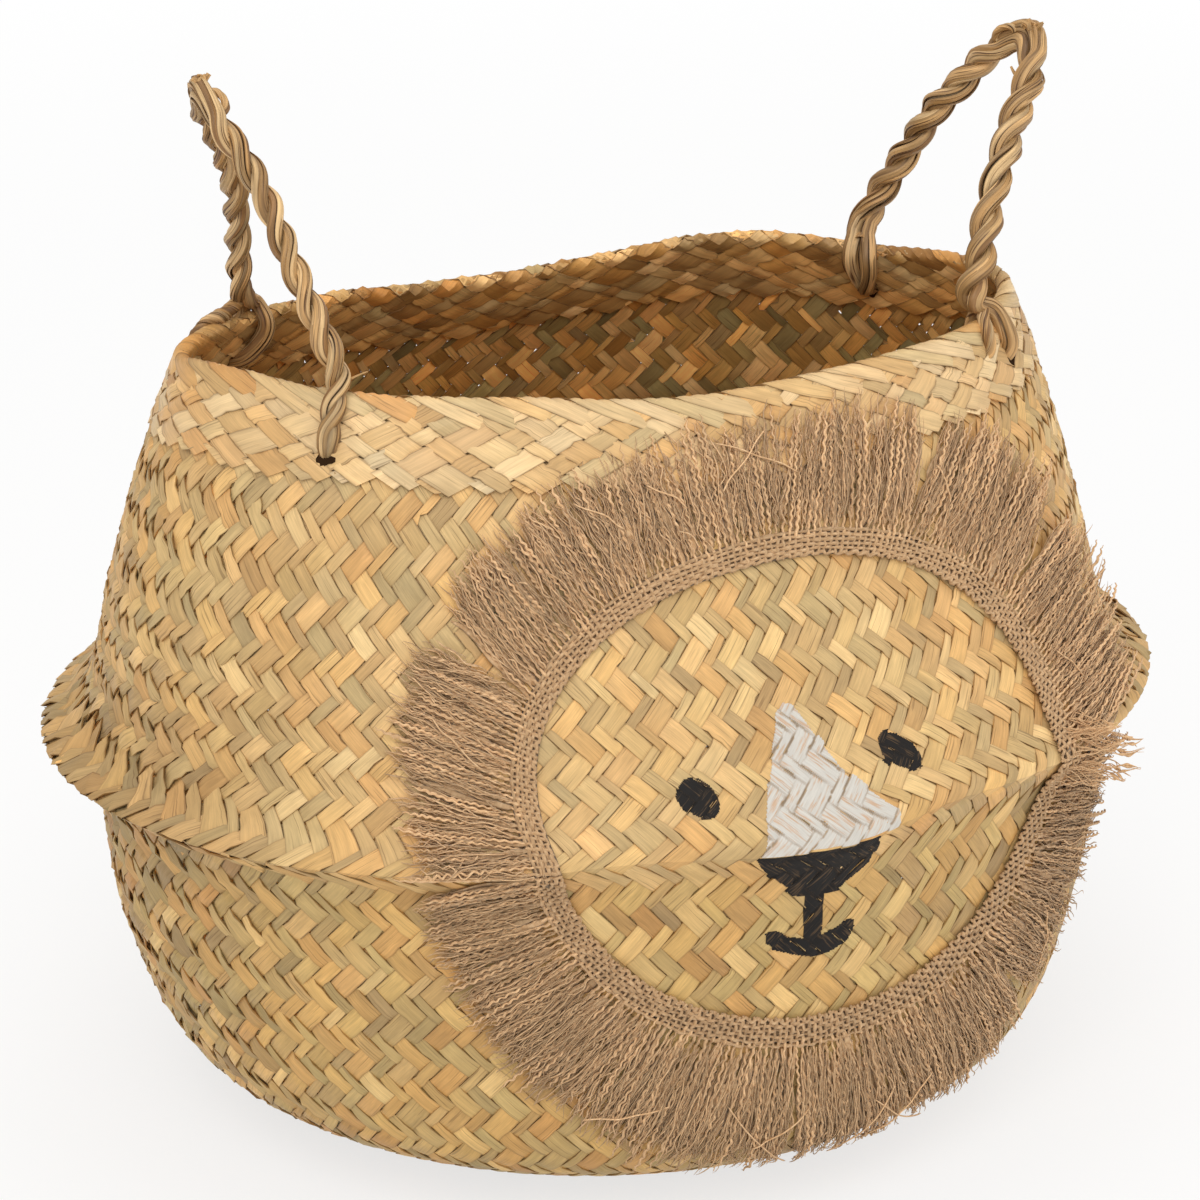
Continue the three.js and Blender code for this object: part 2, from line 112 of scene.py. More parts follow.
def profile(points, samples=240):
    """Centripetal Catmull-Rom line through the ovals, and its slant along the front."""
    p = np.array(points, float)
    p = np.vstack([2 * p[0] - p[1], p, 2 * p[-1] - p[-2]])
    spans = len(points) - 1
    line = []
    for k in range(samples + 1):
        t = k / samples * spans
        i = min(int(t), spans - 1)
        w = t - i
        p0, p1, p2, p3 = p[i : i + 4]
        d0, d1, d2 = (np.linalg.norm(b - a) ** 0.5 for a, b in ((p0, p1), (p1, p2), (p2, p3)))
        t1 = ((p1 - p0) / d0 - (p2 - p0) / (d0 + d1) + (p2 - p1) / d1) * d1
        t2 = ((p2 - p1) / d1 - (p3 - p1) / (d1 + d2) + (p3 - p2) / d2) * d1
        c2 = -3 * p1 + 3 * p2 - 2 * t1 - t2
        c3 = 2 * p1 - 2 * p2 + t1 + t2
        line.append(p1 + t1 * w + c2 * w * w + c3 * w**3)
    line = np.array(line)
    step = np.diff(line, axis=0)
    slant = np.concatenate([[0], np.cumsum(np.hypot(step[:, 1], step[:, 2]))])
    return line, slant


def ease(share):
    """An even ramp from 0 to 1, slowed at both ends."""
    return share * share * (3 - 2 * share)


def blur(line, kernel, mode="same"):
    return np.convolve(line, kernel / kernel.sum(), mode)


def soft_ring(knots):
    """Heights round the basket as a closed line through knots, smoothed."""
    share = np.arange(RING_STEPS) / RING_STEPS
    line = np.interp(share, *zip(*knots), period=1)
    return blur(np.tile(line, 3), np.hanning(21))[RING_STEPS : 2 * RING_STEPS + 1]


class WallForm:
    """The whole wall as one smooth skin: turns round it from the front, and slant from the crease."""

    def __init__(self):
        low, low_slant = profile(LOWER_OVALS)
        high, high_slant = profile(UPPER_OVALS)
        self.bottom, self.top = -low_slant[-1], high_slant[-1]
        slants = np.concatenate([-low_slant[::-1], high_slant[1:]])
        ovals = np.vstack([low[::-1], high[1:]])
        self.slants = np.linspace(self.bottom, self.top, 1200)
        self.ovals = np.stack([np.interp(self.slants, slants, ovals[:, k]) for k in range(3)], axis=-1)
        for column, reach in ((0, 2.2), (1, 8.5), (2, 2.6)):
            self.round_crease(column, reach)
        self.rim_wave, self.crease_wave = soft_ring(RIM_WAVE), soft_ring(CREASE_WAVE)
        steps = [np.arange(self.bottom, 0, 1.5), np.arange(0, self.top, 1.5), [self.top]]
        self.levels = np.unique(np.concatenate(steps))
        angle = np.linspace(-math.pi / 2, 1.5 * math.pi, 2 * RING_STEPS + 1)
        share = np.linspace(0, 1, RING_STEPS + 1)
        self.turns, self.perimeters = [], []
        for oval in self.oval(self.levels):
            run = np.hypot(np.diff(oval[0] * np.cos(angle)), np.diff(oval[1] * np.sin(angle)))
            run = np.concatenate([[0], np.cumsum(run)])
            self.turns.append(np.interp(share * run[-1], run, angle))
            self.perimeters.append(run[-1])
        self.turns = np.array(self.turns)
        self.perimeters = np.array(self.perimeters)
        self.around = float(self.perimeter(0.0))

    def round_crease(self, column, reach):
        """Rounds the pinched crease, as bent strands do, within a reach of it."""
        step = self.slants[1] - self.slants[0]
        line = self.ovals[:, column]
        soft = blur(line, np.bartlett(2 * int(reach / step) + 3))
        near = np.clip(1 - (np.abs(self.slants) - 2 * reach) / (2 * reach), 0, 1)
        self.ovals[:, column] = line + (soft - line) * near

    def flare(self, turn, slant):
        """How far a place is out on the two pinched ends of the crease, from 0 to 1."""
        side = np.abs(np.cos(self.angle(turn, slant)))
        end = np.clip((side - 0.62) / 0.36, 0, 1)
        return end * end * (0.5 + 0.5 * np.exp(-((slant / 15) ** 2)))

    def sag(self, turn, slant):
        """How far the soft rim and crease stand above or below their level here."""
        place = turn % 1.0
        shares = np.linspace(0, 1, RING_STEPS + 1)
        at_rim = np.interp(place, shares, self.rim_wave) * ease(np.clip((slant - 60) / 70, 0, 1))
        return at_rim + np.interp(place, shares, self.crease_wave) * np.exp(-((slant / 22) ** 2))

    def oval(self, slant):
        columns = [np.interp(slant, self.slants, self.ovals[:, k]) for k in range(3)]
        return np.stack(columns, axis=-1)

    def perimeter(self, slant):
        return np.interp(slant, self.levels, self.perimeters)

    def angle(self, turn, slant):
        """Angle of the oval at a share of a turn, counted along the weave from the front centre."""
        turn, slant = np.broadcast_arrays(np.asarray(turn, float), np.asarray(slant, float))
        level = np.interp(slant, self.levels, np.arange(len(self.levels)))
        row = np.minimum(level.astype(int), len(self.levels) - 2)
        rise = level - row
        place = (turn % 1.0) * RING_STEPS
        col = np.minimum(place.astype(int), RING_STEPS - 1)
        run = place - col
        low = self.turns[row, col] * (1 - run) + self.turns[row, col + 1] * run
        high = self.turns[row + 1, col] * (1 - run) + self.turns[row + 1, col + 1] * run
        return low * (1 - rise) + high * rise

    def normal(self, angle, slant):
        upper = slant >= 0
        low = np.where(upper, np.clip(slant - 0.5, 0, self.top - 1), np.clip(slant - 0.5, self.bottom, -1))
        change = self.oval(low + 1.0) - self.oval(low)
        oval = self.oval(slant)
        cos, sin = np.cos(angle), np.sin(angle)
        around = np.stack([-oval[..., 0] * sin, oval[..., 1] * cos, 0 * cos], axis=-1)
        along = np.stack([change[..., 0] * cos, change[..., 1] * sin, change[..., 2]], axis=-1)
        out = unit(np.cross(around, along))
        level = unit(np.stack([cos / oval[..., 0], sin / oval[..., 1], 0 * cos], axis=-1))
        near = ease(np.clip(1 - np.abs(slant) / 2.2, 0, 1))[..., None]
        return unit(out * (1 - near) + level * near)

    def point(self, turn, slant, lift=0.0):
        turn, slant, lift = np.broadcast_arrays(turn, slant, lift)
        slant = np.asarray(slant, float)
        angle = self.angle(turn, slant)
        oval = self.oval(slant)
        height = oval[..., 2] + self.sag(turn, slant)
        place = np.stack([oval[..., 0] * np.cos(angle), oval[..., 1] * np.sin(angle), height], axis=-1)
        return place + self.normal(angle, slant) * np.asarray(lift, float)[..., None]

    def on_face(self, across, up, lift):
        """A place given by its distance along the weave from the front centre, and its slant."""
        return self.point(np.asarray(across) / self.perimeter(up), up, lift)

    def rim_share(self, length):
        """A length along the rim as a share of a turn."""
        return length / self.perimeter(self.top)

    def by_rim(self, turn, side, drop, lift):
        """A place near the rim: moved sideways along it, down it (above it where negative), and off it."""
        place = self.point(turn + self.rim_share(side), self.top - np.maximum(drop, 0), lift)
        place[..., 2] -= np.minimum(drop, 0)
        return place


class HemForm:
    """The turned hem as one skin: up the outside of the rim, over its edge and down the inside."""

    def __init__(self, wall, out, inner, crown, holes):
        self.wall = wall
        self.holes = holes
        self.middle = (out + inner) / 2
        self.half = (out - inner) / 2
        self.crown = crown
        self.over = math.pi * self.half * 0.8
        self.length = 2 * HEM_HEIGHT + self.over
        self.around = float(wall.perimeter(wall.top))

    def point(self, turn, run, lift=0.0):
        turn, run, lift = np.broadcast_arrays(turn, run, lift)
        run, lift = np.asarray(run, float), np.asarray(lift, float)
        edge = self.wall.top - self.crown
        beyond = run - HEM_HEIGHT - self.over
        bend = np.clip((run - HEM_HEIGHT) / self.over, 0, 1) * math.pi
        half = self.half + lift
        drop = np.where(run < HEM_HEIGHT, HEM_HEIGHT + self.crown - run, beyond + self.crown)
        for place, down in self.holes:
            side = ((turn - place + 0.5) % 1.0 - 0.5) * self.around
            half = half - 1.7 * np.exp(-1.2 * ((side / 2.6) ** 2 + ((drop - down) / 3.2) ** 2))
        slant = np.where(bend <= 0, edge - HEM_HEIGHT + run, edge)
        slant = np.where(bend >= math.pi, edge - beyond, slant)
        slant = slant + np.sin(bend) * (self.crown + lift)
        above = np.maximum(slant - self.wall.top, 0)
        place = self.wall.point(turn, np.minimum(slant, self.wall.top), self.middle + half * np.cos(bend))
        place[..., 2] += above * 0.96
        return place


def unit(v):
    return v / np.maximum(np.linalg.norm(v, axis=-1, keepdims=True), 1e-12)


def smooth_noise(rng, shape, knots):
    """Slow random wander from -1 to 1 along the last axis of an array."""
    count = int(np.prod(shape[:-1]))
    at = rng.uniform(-1, 1, (count, knots + 3))
    place = np.linspace(0, knots, shape[-1])
    i = np.minimum(place.astype(int), knots - 1)
    w = place - i
    a, b, c, d = at[:, i], at[:, i + 1], at[:, i + 2], at[:, i + 3]
    w2, w3 = w * w, w * w * w
    value = (a * (1 - w) ** 3 + b * (3 * w3 - 6 * w2 + 4) + c * (-3 * w3 + 3 * w2 + 3 * w + 1) + d * w3) / 6
    return (value * 1.6).reshape(shape)


# Meshes from plain arrays


def add_mesh(name, points, faces, material, smooth_angle, tone=None, along=None, edge=None):
    """A mesh object at the origin, from points in millimetres and faces of three or four corners."""
    points = np.asarray(points, float)
    mesh = bpy.data.meshes.new(name)
    mesh.from_pydata((points.reshape(-1, 3) * MM).tolist(), [], faces)
    corners = np.zeros(len(mesh.loops), np.int32)
    mesh.loops.foreach_get("vertex_index", corners)
    if along is not None:
        along = np.broadcast_to(along, (*points.shape[:-1], 2)).astype(np.float32)
        layer = mesh.uv_layers.new(name="along")
        layer.data.foreach_set("uv", along.reshape(-1, 2)[corners].ravel())
    if tone is not None:
        tones = np.ones((len(mesh.vertices), 4), np.float32)
        tones[:, :3] = np.broadcast_to(tone, points.shape).reshape(-1, 3)
        layer = mesh.attributes.new("tone", "FLOAT_COLOR", "POINT")
        layer.data.foreach_set("color", tones.ravel())
    if edge is not None:
        edges = np.broadcast_to(edge, points.shape[:-1]).astype(np.float32)
        layer = mesh.attributes.new("edge", "FLOAT", "POINT")
        layer.data.foreach_set("value", edges.ravel())
    mesh.materials.append(material)
    piece = bpy.data.objects.new(name, mesh)
    bpy.context.scene.collection.objects.link(piece)
    pick(piece)
    if smooth_angle >= math.pi:
        bpy.ops.object.shade_smooth()
    else:
        bpy.ops.object.shade_smooth_by_angle(angle=smooth_angle)
    return piece


def add_tubes(name, points, material, smooth_angle, **layers):
    """Many equal closed tubes or flat strips as one mesh; points run by tube, ring and corner."""
    count, rows, ring, _ = points.shape
    return add_mesh(name, points, grid_faces(rows, ring, count), material, smooth_angle, **layers)


def pick(piece):
    bpy.ops.object.select_all(action="DESELECT")
    piece.select_set(True)
    bpy.context.view_layer.objects.active = piece


def clean(piece, merge=None):
    """Turns all faces of a piece outwards, with double points merged first if asked."""
    pick(piece)
    bpy.ops.object.mode_set(mode="EDIT")
    bpy.ops.mesh.select_all(action="SELECT")
    if merge:
        bpy.ops.mesh.remove_doubles(threshold=merge)
    bpy.ops.mesh.normals_make_consistent(inside=False)
    bpy.ops.object.mode_set(mode="OBJECT")


def grid_faces(rows, ring, count):
    """Faces of many equal tubes: rows of rings with ring corners each, one after the other."""
    i = np.arange(rows - 1)[:, None] * ring
    j = np.arange(ring)[None, :]
    k = (j + 1) % ring
    side = np.stack([i + j, i + k, i + ring + k, i + ring + j], axis=-1).reshape(-1, 4)
    step = np.arange(count)[:, None, None] * rows * ring
    sides = (side[None] + step).reshape(-1, 4).tolist()
    first = (np.arange(ring)[::-1][None] + step[:, 0]).tolist()
    last = ((rows - 1) * ring + np.arange(ring)[None] + step[:, 0]).tolist()
    return sides + first + last


def tubes(paths, up, width, height, sides, spin=0.0):
    """Closed round or flat tubes along many paths. up is each path's own outward direction."""
    paths = np.asarray(paths, float)
    count, rows, _ = paths.shape
    tangent = unit(np.gradient(paths, axis=1))
    side = unit(np.cross(tangent, up))
    rise = np.cross(side, tangent)
    angle = np.arange(sides) / sides * TURN
    turn = np.broadcast_to(np.asarray(spin, float), (count, rows))[..., None]
    ring_side = np.cos(angle) * np.broadcast_to(width, (count, rows))[..., None]
    ring_up = np.sin(angle) * np.broadcast_to(height, (count, rows))[..., None]
    across = ring_side * np.cos(turn) - ring_up * np.sin(turn)
    above = ring_side * np.sin(turn) + ring_up * np.cos(turn)
    return paths[:, :, None] + across[..., None] * side[:, :, None] + above[..., None] * rise[:, :, None]


def tube_along(points):
    """UV of tubes: round the tube and along it, in millimetres, moved on for each tube."""
    count, rows, sides, _ = points.shape
    centre = points.mean(axis=2)
    step = np.linalg.norm(np.diff(centre, axis=1), axis=-1)
    run = np.concatenate([np.zeros((count, 1)), np.cumsum(step, axis=1)], axis=1)
    round_ = np.arange(sides) / sides * np.linalg.norm(points[0, 0, 0] - centre[0, 0]) * TURN
    own = np.arange(count)[:, None, None] * 17.3
    u = np.broadcast_to(round_, (count, rows, sides)) + own
    v = np.broadcast_to(run[..., None], (count, rows, sides)) + own * 1.7
    return np.stack([u, v], axis=-1)


def strip_along(shape, u, v, step):
    """UV of flat strips: across and along each one, moved on for each strip."""
    own = np.arange(shape[0])[:, None, None]
    u = np.broadcast_to(u, shape) + own * 23.7
    v = np.broadcast_to(v, shape) + own * step
    return np.stack([u, v], axis=-1)


# Weaving


class Lattice:
    """Two families of strands that cross on the bias, each strand with its own width."""

    def __init__(self, count, spread, rng, alternate=0.0):
        self.count = count
        swap = np.where(np.arange(count) % 2 == 0, 0.5, -0.5) * alternate
        self.edges = [np.arange(count) + 0.5 + swap + rng.uniform(-spread, spread, count) for _ in range(2)]

    def edge(self, family, index):
        index = np.asarray(index)
        wrapped = index % self.count
        return self.edges[family][wrapped] + (index - wrapped)

    def middle(self, family, index):
        return (self.edge(family, index - 1) + self.edge(family, index)) / 2


# How high a strand lies at each half crossing of a weave: two over and two under, and one over and one under
TWILL = np.array([0.86, 1.0, 0.86, 0.0, -0.86, -1.0, -0.86, 0.0])
PLAIN = np.array([0.9, 0.0, -0.9, 0.0])
# The wall weave's middle, off the smooth skin, and the gap at each side of a strand as a share of it
WALL_MIDDLE, WALL_GAP = -0.78, 0.022
# The hem's weave: pattern, rise, thickness, middle off its skin, and gap
HEM_WEAVE = (PLAIN, 0.52, 0.42, 0.05, 0.028)
# How far a strand's corners wander off the weave: tilted, and up or down as one
LOOSE_TILT, LOOSE_LIFT = 0.12, 0.05
# The six corners of a flat strip: how far across it each lies, and which of them are on its lips
STRIP_ACROSS = np.array([-0.5, 0, 0.5, 0.5, 0, -0.5])
STRIP_LIPS = np.array([1, 0, 1, 1, 0, 1.0])
# Half crossings after which a strand's float is under another, and its tone may change
FLOAT_RINGS = 8
# Openings between strands, as shares of a strand: slits at the pinched ends, pinholes from a slant up
SLIT, PINHOLE, PINHOLES_FROM = 0.12, 0.3, 85


def wave(pattern, phase):
    """Height of a strand along its run: the pattern's values stand half a crossing apart."""
    place = np.asarray(phase) * 2
    low = np.floor(place).astype(int)
    share = ease(place - low)
    return pattern[low % len(pattern)] * (1 - share) + pattern[(low + 1) % len(pattern)] * share


def strands(lattice, family, form, row_height, rings, weave, rng, is_wall, fine=1):
    """One family of flat strands woven over and under the other, and its UV.

    rings are half crossings counted from the first row. The wall's strands start level at the crease,
    and part and lift at its pinched ends; the hem's are looser throughout.
    """
    pattern, swing, thick, middle, gap = weave
    count = lattice.count
    sign = 1 if family == 0 else -1
    ring = np.asarray(rings, float) / fine
    own = np.arange(count)[:, None]
    half = np.floor(ring).astype(int)
    share = (ring - half)[None]

    def mark(step):
        """Where the other family's middles and edges cross this strand."""
        at_middle = lattice.middle(1 - family, own + sign * (step // 2))
        past = (step - 1) // 2 if sign > 0 else -((step + 1) // 2)
        return np.where(step % 2 == 0, at_middle, lattice.edge(1 - family, own + past))

    cross = mark(half[None]) * (1 - share) + mark(half[None] + 1) * share
    middles = lattice.middle(family, own) + 0 * cross
    size = (*cross.shape, 2)
    pull = gap * (1 + 4 * rng.random(size) ** 10)
    if is_wall:
        run = sign * (cross - middles)
        level = run * np.where(run >= 0, row_height[0], row_height[1])
        parted = form.flare((middles + cross) / (2 * count), level)[..., None]
        pull = pull + SLIT * parted * rng.random(size) ** 3
        pull = pull + PINHOLE * (rng.random(size) > 0.988) * (level > PINHOLES_FROM)[..., None]
    low = lattice.edge(family, own - 1) + pull[..., 0]
    high = lattice.edge(family, own) - pull[..., 1]
    across = np.stack([low, middles, high], axis=-1)
    row = sign * (np.repeat(cross[..., None], 3, axis=-1) - across)
    phase = np.broadcast_to(ring[None, :, None] / 2, row.shape).copy()
    first = ring == 0
    if is_wall:
        phase[:, first] = np.array([-0.5, 0, 0.5]) * sign
        row = np.where((ring > 0)[None, :, None], np.maximum(row, 0.1), row)
        row = np.where((ring < 0)[None, :, None], np.minimum(row, -0.1), row)
        row[:, first] = 0
    cross = across + sign * row
    turn = (across + cross) / (2 * count)
    slant = row * np.where(row >= 0, row_height[0], row_height[1])
    height = wave(pattern, phase) * swing * sign
    loose = rng.uniform(-LOOSE_TILT, LOOSE_TILT, (count, len(ring), 1)) * np.array([1.0, 0.1, -1.0])
    loose = loose + rng.uniform(-LOOSE_LIFT, LOOSE_LIFT, (count, len(ring), 1))
    if is_wall:
        loose[:, first] = 0
        ends = form.flare(turn, slant)
        height = height * (1 + 0.9 * ends)
        loose = loose * (1 + 7 * ends)
    else:
        loose = loose * 2.4
    lift = middle + height + loose
    crown = np.array([0.0, 0.1, 0.0])
    top = form.point(turn, slant, lift + thick / 2 + crown - 0.05)
    under = form.point(turn, slant, lift - thick / 2)
    points = np.concatenate([top, under[:, :, ::-1]], axis=2)
    if ring[1] < ring[0]:
        points = points[:, :, ::-1]
    spacing = form.around / count
    width = (across[..., 2] - across[..., 0]).mean(axis=1, keepdims=True)
    width = width * spacing / math.hypot(1, spacing / 2 / row_height[0])
    v = (ring * 2.6)[None, :, None]
    return points, strip_along(points.shape[:3], width[..., None] * STRIP_ACROSS, v, 41.3)


def strand_tones(palettes, count, rings, rng, start=0, inner=((1, 1, 1),)):
    """Colours of leaf strands: wide golden ones and narrow dull ones take turns, with strays, and each
    drifts a little from float to float, always where another strand hides it. Inner sides take a tint,
    partly the leaf's own inner side and partly painted shade of the basket's inside."""
    palettes = np.array(palettes)
    kind = np.where(rng.random(count) < 0.2, 1, 0) ^ (np.arange(count) % 2)
    own = palettes[kind, rng.integers(0, palettes.shape[1], count)]
    floats = rings // FLOAT_RINGS + 3
    other = palettes[np.where(rng.random((count, floats)) < 0.25, 1 - kind[:, None], kind[:, None])]
    chosen = rng.integers(0, palettes.shape[1], (count, floats))
    other = np.take_along_axis(other, chosen[..., None, None], axis=2)[:, :, 0]
    share = rng.uniform(0.1, 0.8, (count, floats, 1))
    tone = own[:, None] * (1 - share) + other * share
    tone = tone * rng.uniform(0.84, 1.12, (count, floats, 1))
    # Inner faces take tints: partly the leaf's own inner side, partly painted shade of the basket's inside
    tints = np.array(inner)[rng.integers(0, len(inner), (count, floats))]
    tints = tints * rng.uniform(0.6, 1.38, (count, floats, 1))
    outer_float = (np.arange(rings) + start) // FLOAT_RINGS
    inner_float = (np.arange(rings) + start + FLOAT_RINGS // 2) // FLOAT_RINGS
    shown = np.repeat(tone[:, outer_float][:, :, None], 6, axis=2)
    shown[:, :, 3:] = (tone * tints)[:, inner_float][:, :, None]
    return shown


# Finishes


class Tree:
    """Short words for building the node tree of a material or a world."""

    def __init__(self, owner):
        owner.use_nodes = True
        self.owner = owner
        self.nodes = owner.node_tree.nodes
        self.links = owner.node_tree.links
        self.shader = self.nodes.get("Principled BSDF")

    def add(self, kind, **values):
        made = self.nodes.new("ShaderNode" + kind)
        for key, value in values.items():
            setattr(made, key, value)
        return made

    def feed(self, node, inputs):
        """Sets or links a node's inputs, which are named or counted from 0."""
        for key, value in inputs.items():
            if isinstance(value, bpy.types.NodeSocket):
                self.links.new(value, node.inputs[key])
            else:
                node.inputs[key].default_value = value
        return node

    def math(self, operation, a, b):
        return self.feed(self.add("Math", operation=operation), {0: a, 1: b}).outputs[0]

    def mix(self, share, a, b, blend="MIX"):
        made = self.add("Mix", data_type="RGBA", blend_type=blend)
        a, b = (value if isinstance(value, bpy.types.NodeSocket) else (*value, 1) for value in (a, b))
        return self.feed(made, {0: share, 6: a, 7: b}).outputs[2]

    def tinted(self, colour, by):
        return self.mix(1.0, colour, by, "MULTIPLY")

    def ramp(self, value, stops):
        made = self.feed(self.add("ValToRGB"), {0: value})
        for element, (position, shade) in zip(made.color_ramp.elements, stops):
            element.position = position
            element.color = (shade, shade, shade, 1)
        return made.outputs[0]

    def noise(self, vector, scale, detail, rough, stretch=(1, 1, 1)):
        mapping = self.feed(self.add("Mapping"), {"Vector": vector, "Scale": stretch}).outputs[0]
        made = self.add("TexNoise", noise_dimensions="3D")
        inputs = {"Vector": mapping, "Scale": scale, "Detail": detail, "Roughness": rough}
        return self.feed(made, inputs).outputs[0]

    def vary(self, value, low, high, start=0.3, end=0.7):
        made = self.add("MapRange", clamp=True)
        return self.feed(made, {0: value, 1: start, 2: end, 3: low, 4: high}).outputs[0]

    def layer(self, name, output):
        return self.add("Attribute", attribute_name=name).outputs[output]

    def along(self):
        return self.add("UVMap", uv_map="along").outputs[0]

    def finish(self, colour, rough, gloss, height, strength, distance):
        bump = self.feed(self.add("Bump"), {"Height": height, "Strength": strength, "Distance": distance})
        inputs = {"Base Color": colour, "Roughness": rough, "Specular IOR Level": gloss}
        self.feed(self.shader, inputs | {"Normal": bump.outputs[0]})
        return self.owner


def leaf_finish(name, shade, streak, rough, gloss=0.34, lip_shade=0.52, sharp=15.0):
    """Dried leaf strands: own tones, streaks and splits along each strand, and darker lips: partly the
    leaf's own edges, partly painted shadow where strands lap.
    """
    tree = Tree(bpy.data.materials.new(name))
    along = tree.along()
    place = tree.add("TexCoord").outputs["Object"]
    fine = tree.noise(along, 1.0, 3.0, 0.6, (2.9, 0.1, 1))
    fibre = tree.noise(along, 1.0, 2.0, 0.5, (1.2, 0.055, 1))
    broad = tree.noise(along, 1.0, 2.0, 0.5, (0.32, 0.1, 1))
    crease = tree.noise(along, 1.0, 0.0, 0.4, (1.9, 0.05, 1))
    patch = tree.noise(place, 38.0, 2.0, 0.5)
    colour = tree.tinted(tree.layer("tone", "Color"), tree.vary(fine, 1 - 0.2 * streak, 1 + 0.18 * streak))
    colour = tree.tinted(colour, tree.vary(fibre, 1 - 0.16 * streak, 1 + 0.12 * streak))
    colour = tree.tinted(colour, tree.vary(broad, 0.88, 1.09))
    colour = tree.tinted(colour, tree.mix(tree.vary(patch, 0, 1), (1.0, 0.95, 0.88), (0.99, 1.0, 0.98)))
    split = tree.math("MULTIPLY", tree.ramp(crease, [(0.25, 1.0), (0.3, 0.0)]), 0.72 * streak)
    colour = tree.mix(split, colour, linear(92, 60, 32))
    # Darker lips along each strand: partly the leaf's own edges, partly painted shadow where strands lap
    # over each other
    worn = tree.math("POWER", tree.layer("edge", "Fac"), sharp)
    colour = tree.mix(tree.math("MULTIPLY", worn, lip_shade), colour, linear(96, 64, 34))
    height = tree.math("SUBTRACT", tree.math("ADD", fine, fibre), split)
    dry = tree.vary(fine, rough + 0.12, rough - 0.08)
    return tree.finish(tree.tinted(colour, shade), dry, gloss, height, 0.25, 0.0004)


def rope_finish(name, shade):
    # Rope strips take strong, wide darker lips: painted shade in the crevices between strips
    return leaf_finish(name, shade, 1.4, 0.5, gloss=0.5, lip_shade=0.75, sharp=6.0)


def jute_finish(name, light, dark):
    """Spun jute: fuzzy, with twisted light and dark fibres: a noise mixes fibre in the light with fibre in
    its folds, partly the fibres' own tones and partly painted light and shade.
    """
    tree = Tree(bpy.data.materials.new(name))
    fibre = tree.noise(tree.along(), 1.0, 3.0, 0.6, (2.2, 0.6, 1))
    colour = tree.mix(tree.ramp(fibre, [(0.3, 0.0), (0.7, 1.0)]), dark, light)
    tree.feed(tree.shader, {"Sheen Weight": 0.15})
    return tree.finish(tree.tinted(colour, tree.layer("tone", "Color")), 0.85, 0.2, fibre, 0.5, 0.0003)


def paint_finish(name, full, worn, seam):
    """Brushed paint on leaf: it thins along the fibres, and it is darker in the seams between strands,
    partly unpainted leaf and partly painted shade in the gaps that the coat bridges.
    """
    tree = Tree(bpy.data.materials.new(name))
    along = tree.along()
    fine = tree.noise(along, 1.0, 3.0, 0.65, (1.7, 0.09, 1))
    broad = tree.noise(along, 1.0, 2.0, 0.5, (0.4, 0.12, 1))
    thin = tree.math("ADD", tree.math("MULTIPLY", fine, 0.65), tree.math("MULTIPLY", broad, 0.35))
    colour = tree.mix(tree.ramp(thin, [(0.41, 1.0), (0.47, 0.0)]), full, worn)
    colour = tree.tinted(colour, tree.vary(fine, 0.86, 1.1))
    colour = tree.mix(tree.math("MULTIPLY", tree.layer("edge", "Fac"), 0.7), colour, seam)
    return tree.finish(colour, 0.6, 0.3, fine, 0.5, 0.0004)


# Settings


def length(name, text, default):
    return FloatProperty(name=name, description=text, default=default, unit="LENGTH")


def number(name, text, default):
    return FloatProperty(name=name, description=text, default=default)


def count_of(name, text, default, low, high):
    return IntProperty(name=name, description=text, default=default, min=low, max=high)


def tint(name, text, default):
    return FloatVectorProperty(name=name, description=text, subtype="COLOR", default=default, min=0, max=1)


class BasketWeave(bpy.types.PropertyGroup):
    strand_count: count_of("Strands", "Strands in each slanting family", 136, 60, 200)
    strand_thickness: length("Strand thickness", "Thickness of one leaf strand", 0.0005)
    upper_row: length("Upper row", "Slant between two rows of crossings above the crease", 0.00368)
    lower_row: length("Lower row", "Slant between two rows of crossings below the crease", 0.0036)
    swing: length("Swing", "How far a strand rises over another", 0.00048)
    shade: tint("Shade", "Tint over all wall strands", (1, 1, 1))


class BasketHem(bpy.types.PropertyGroup):
    strip_count: count_of("Strips", "Strips in each family of the hem", 56, 30, 140)
    row: length("Row", "Run between two rows of crossings", 0.0037)


class BasketRope(bpy.types.PropertyGroup):
    turns_per_leg: number("Turns per leg", "Twist of the two plies in each leg", 3.75)
    left_ply: length("Left ply", "Radius of a ply of the left handle", 0.0023)
    right_ply: length("Right ply", "Radius of a ply of the right handle", 0.0027)
    apart: number("Apart", "From the rope's middle to a ply's, in ply radii", 0.78)


class BasketMane(bpy.types.PropertyGroup):
    yarn_spacing: length("Yarn spacing", "Between two yarns of the tape", 0.0016)
    yarn_radius: length("Yarn radius", "Radius of a jute yarn", 0.00038)
    fibre_count: count_of("Fibres", "Loose fibres in one half of the fringe", 3100, 0, 6000)
    light: tint("Light fibre", "Jute fibre in the light", linear(240, 203, 158))
    dark: tint("Dark fibre", "Jute fibre in its folds", linear(200, 155, 108))


class BasketStudio(bpy.types.PropertyGroup):
    lens: number("Lens", "Focal length of the camera in millimetres", 108.42)
    world_light: number("World light", "Strength of the light from all round", 0.64)


def shades(*picked):
    return [linear(*colour) for colour in picked]


# Leaf tones as pairs of palettes, wide strands and narrow ones
UPPER_LEAF = (
    shades((229, 187, 122), (232, 200, 145), (218, 174, 114))
    + shades((225, 181, 118), (231, 191, 133), (214, 167, 108)),
    shades((202, 175, 125), (209, 175, 122), (192, 165, 119))
    + shades((222, 186, 126), (194, 161, 113), (204, 174, 122)),
)
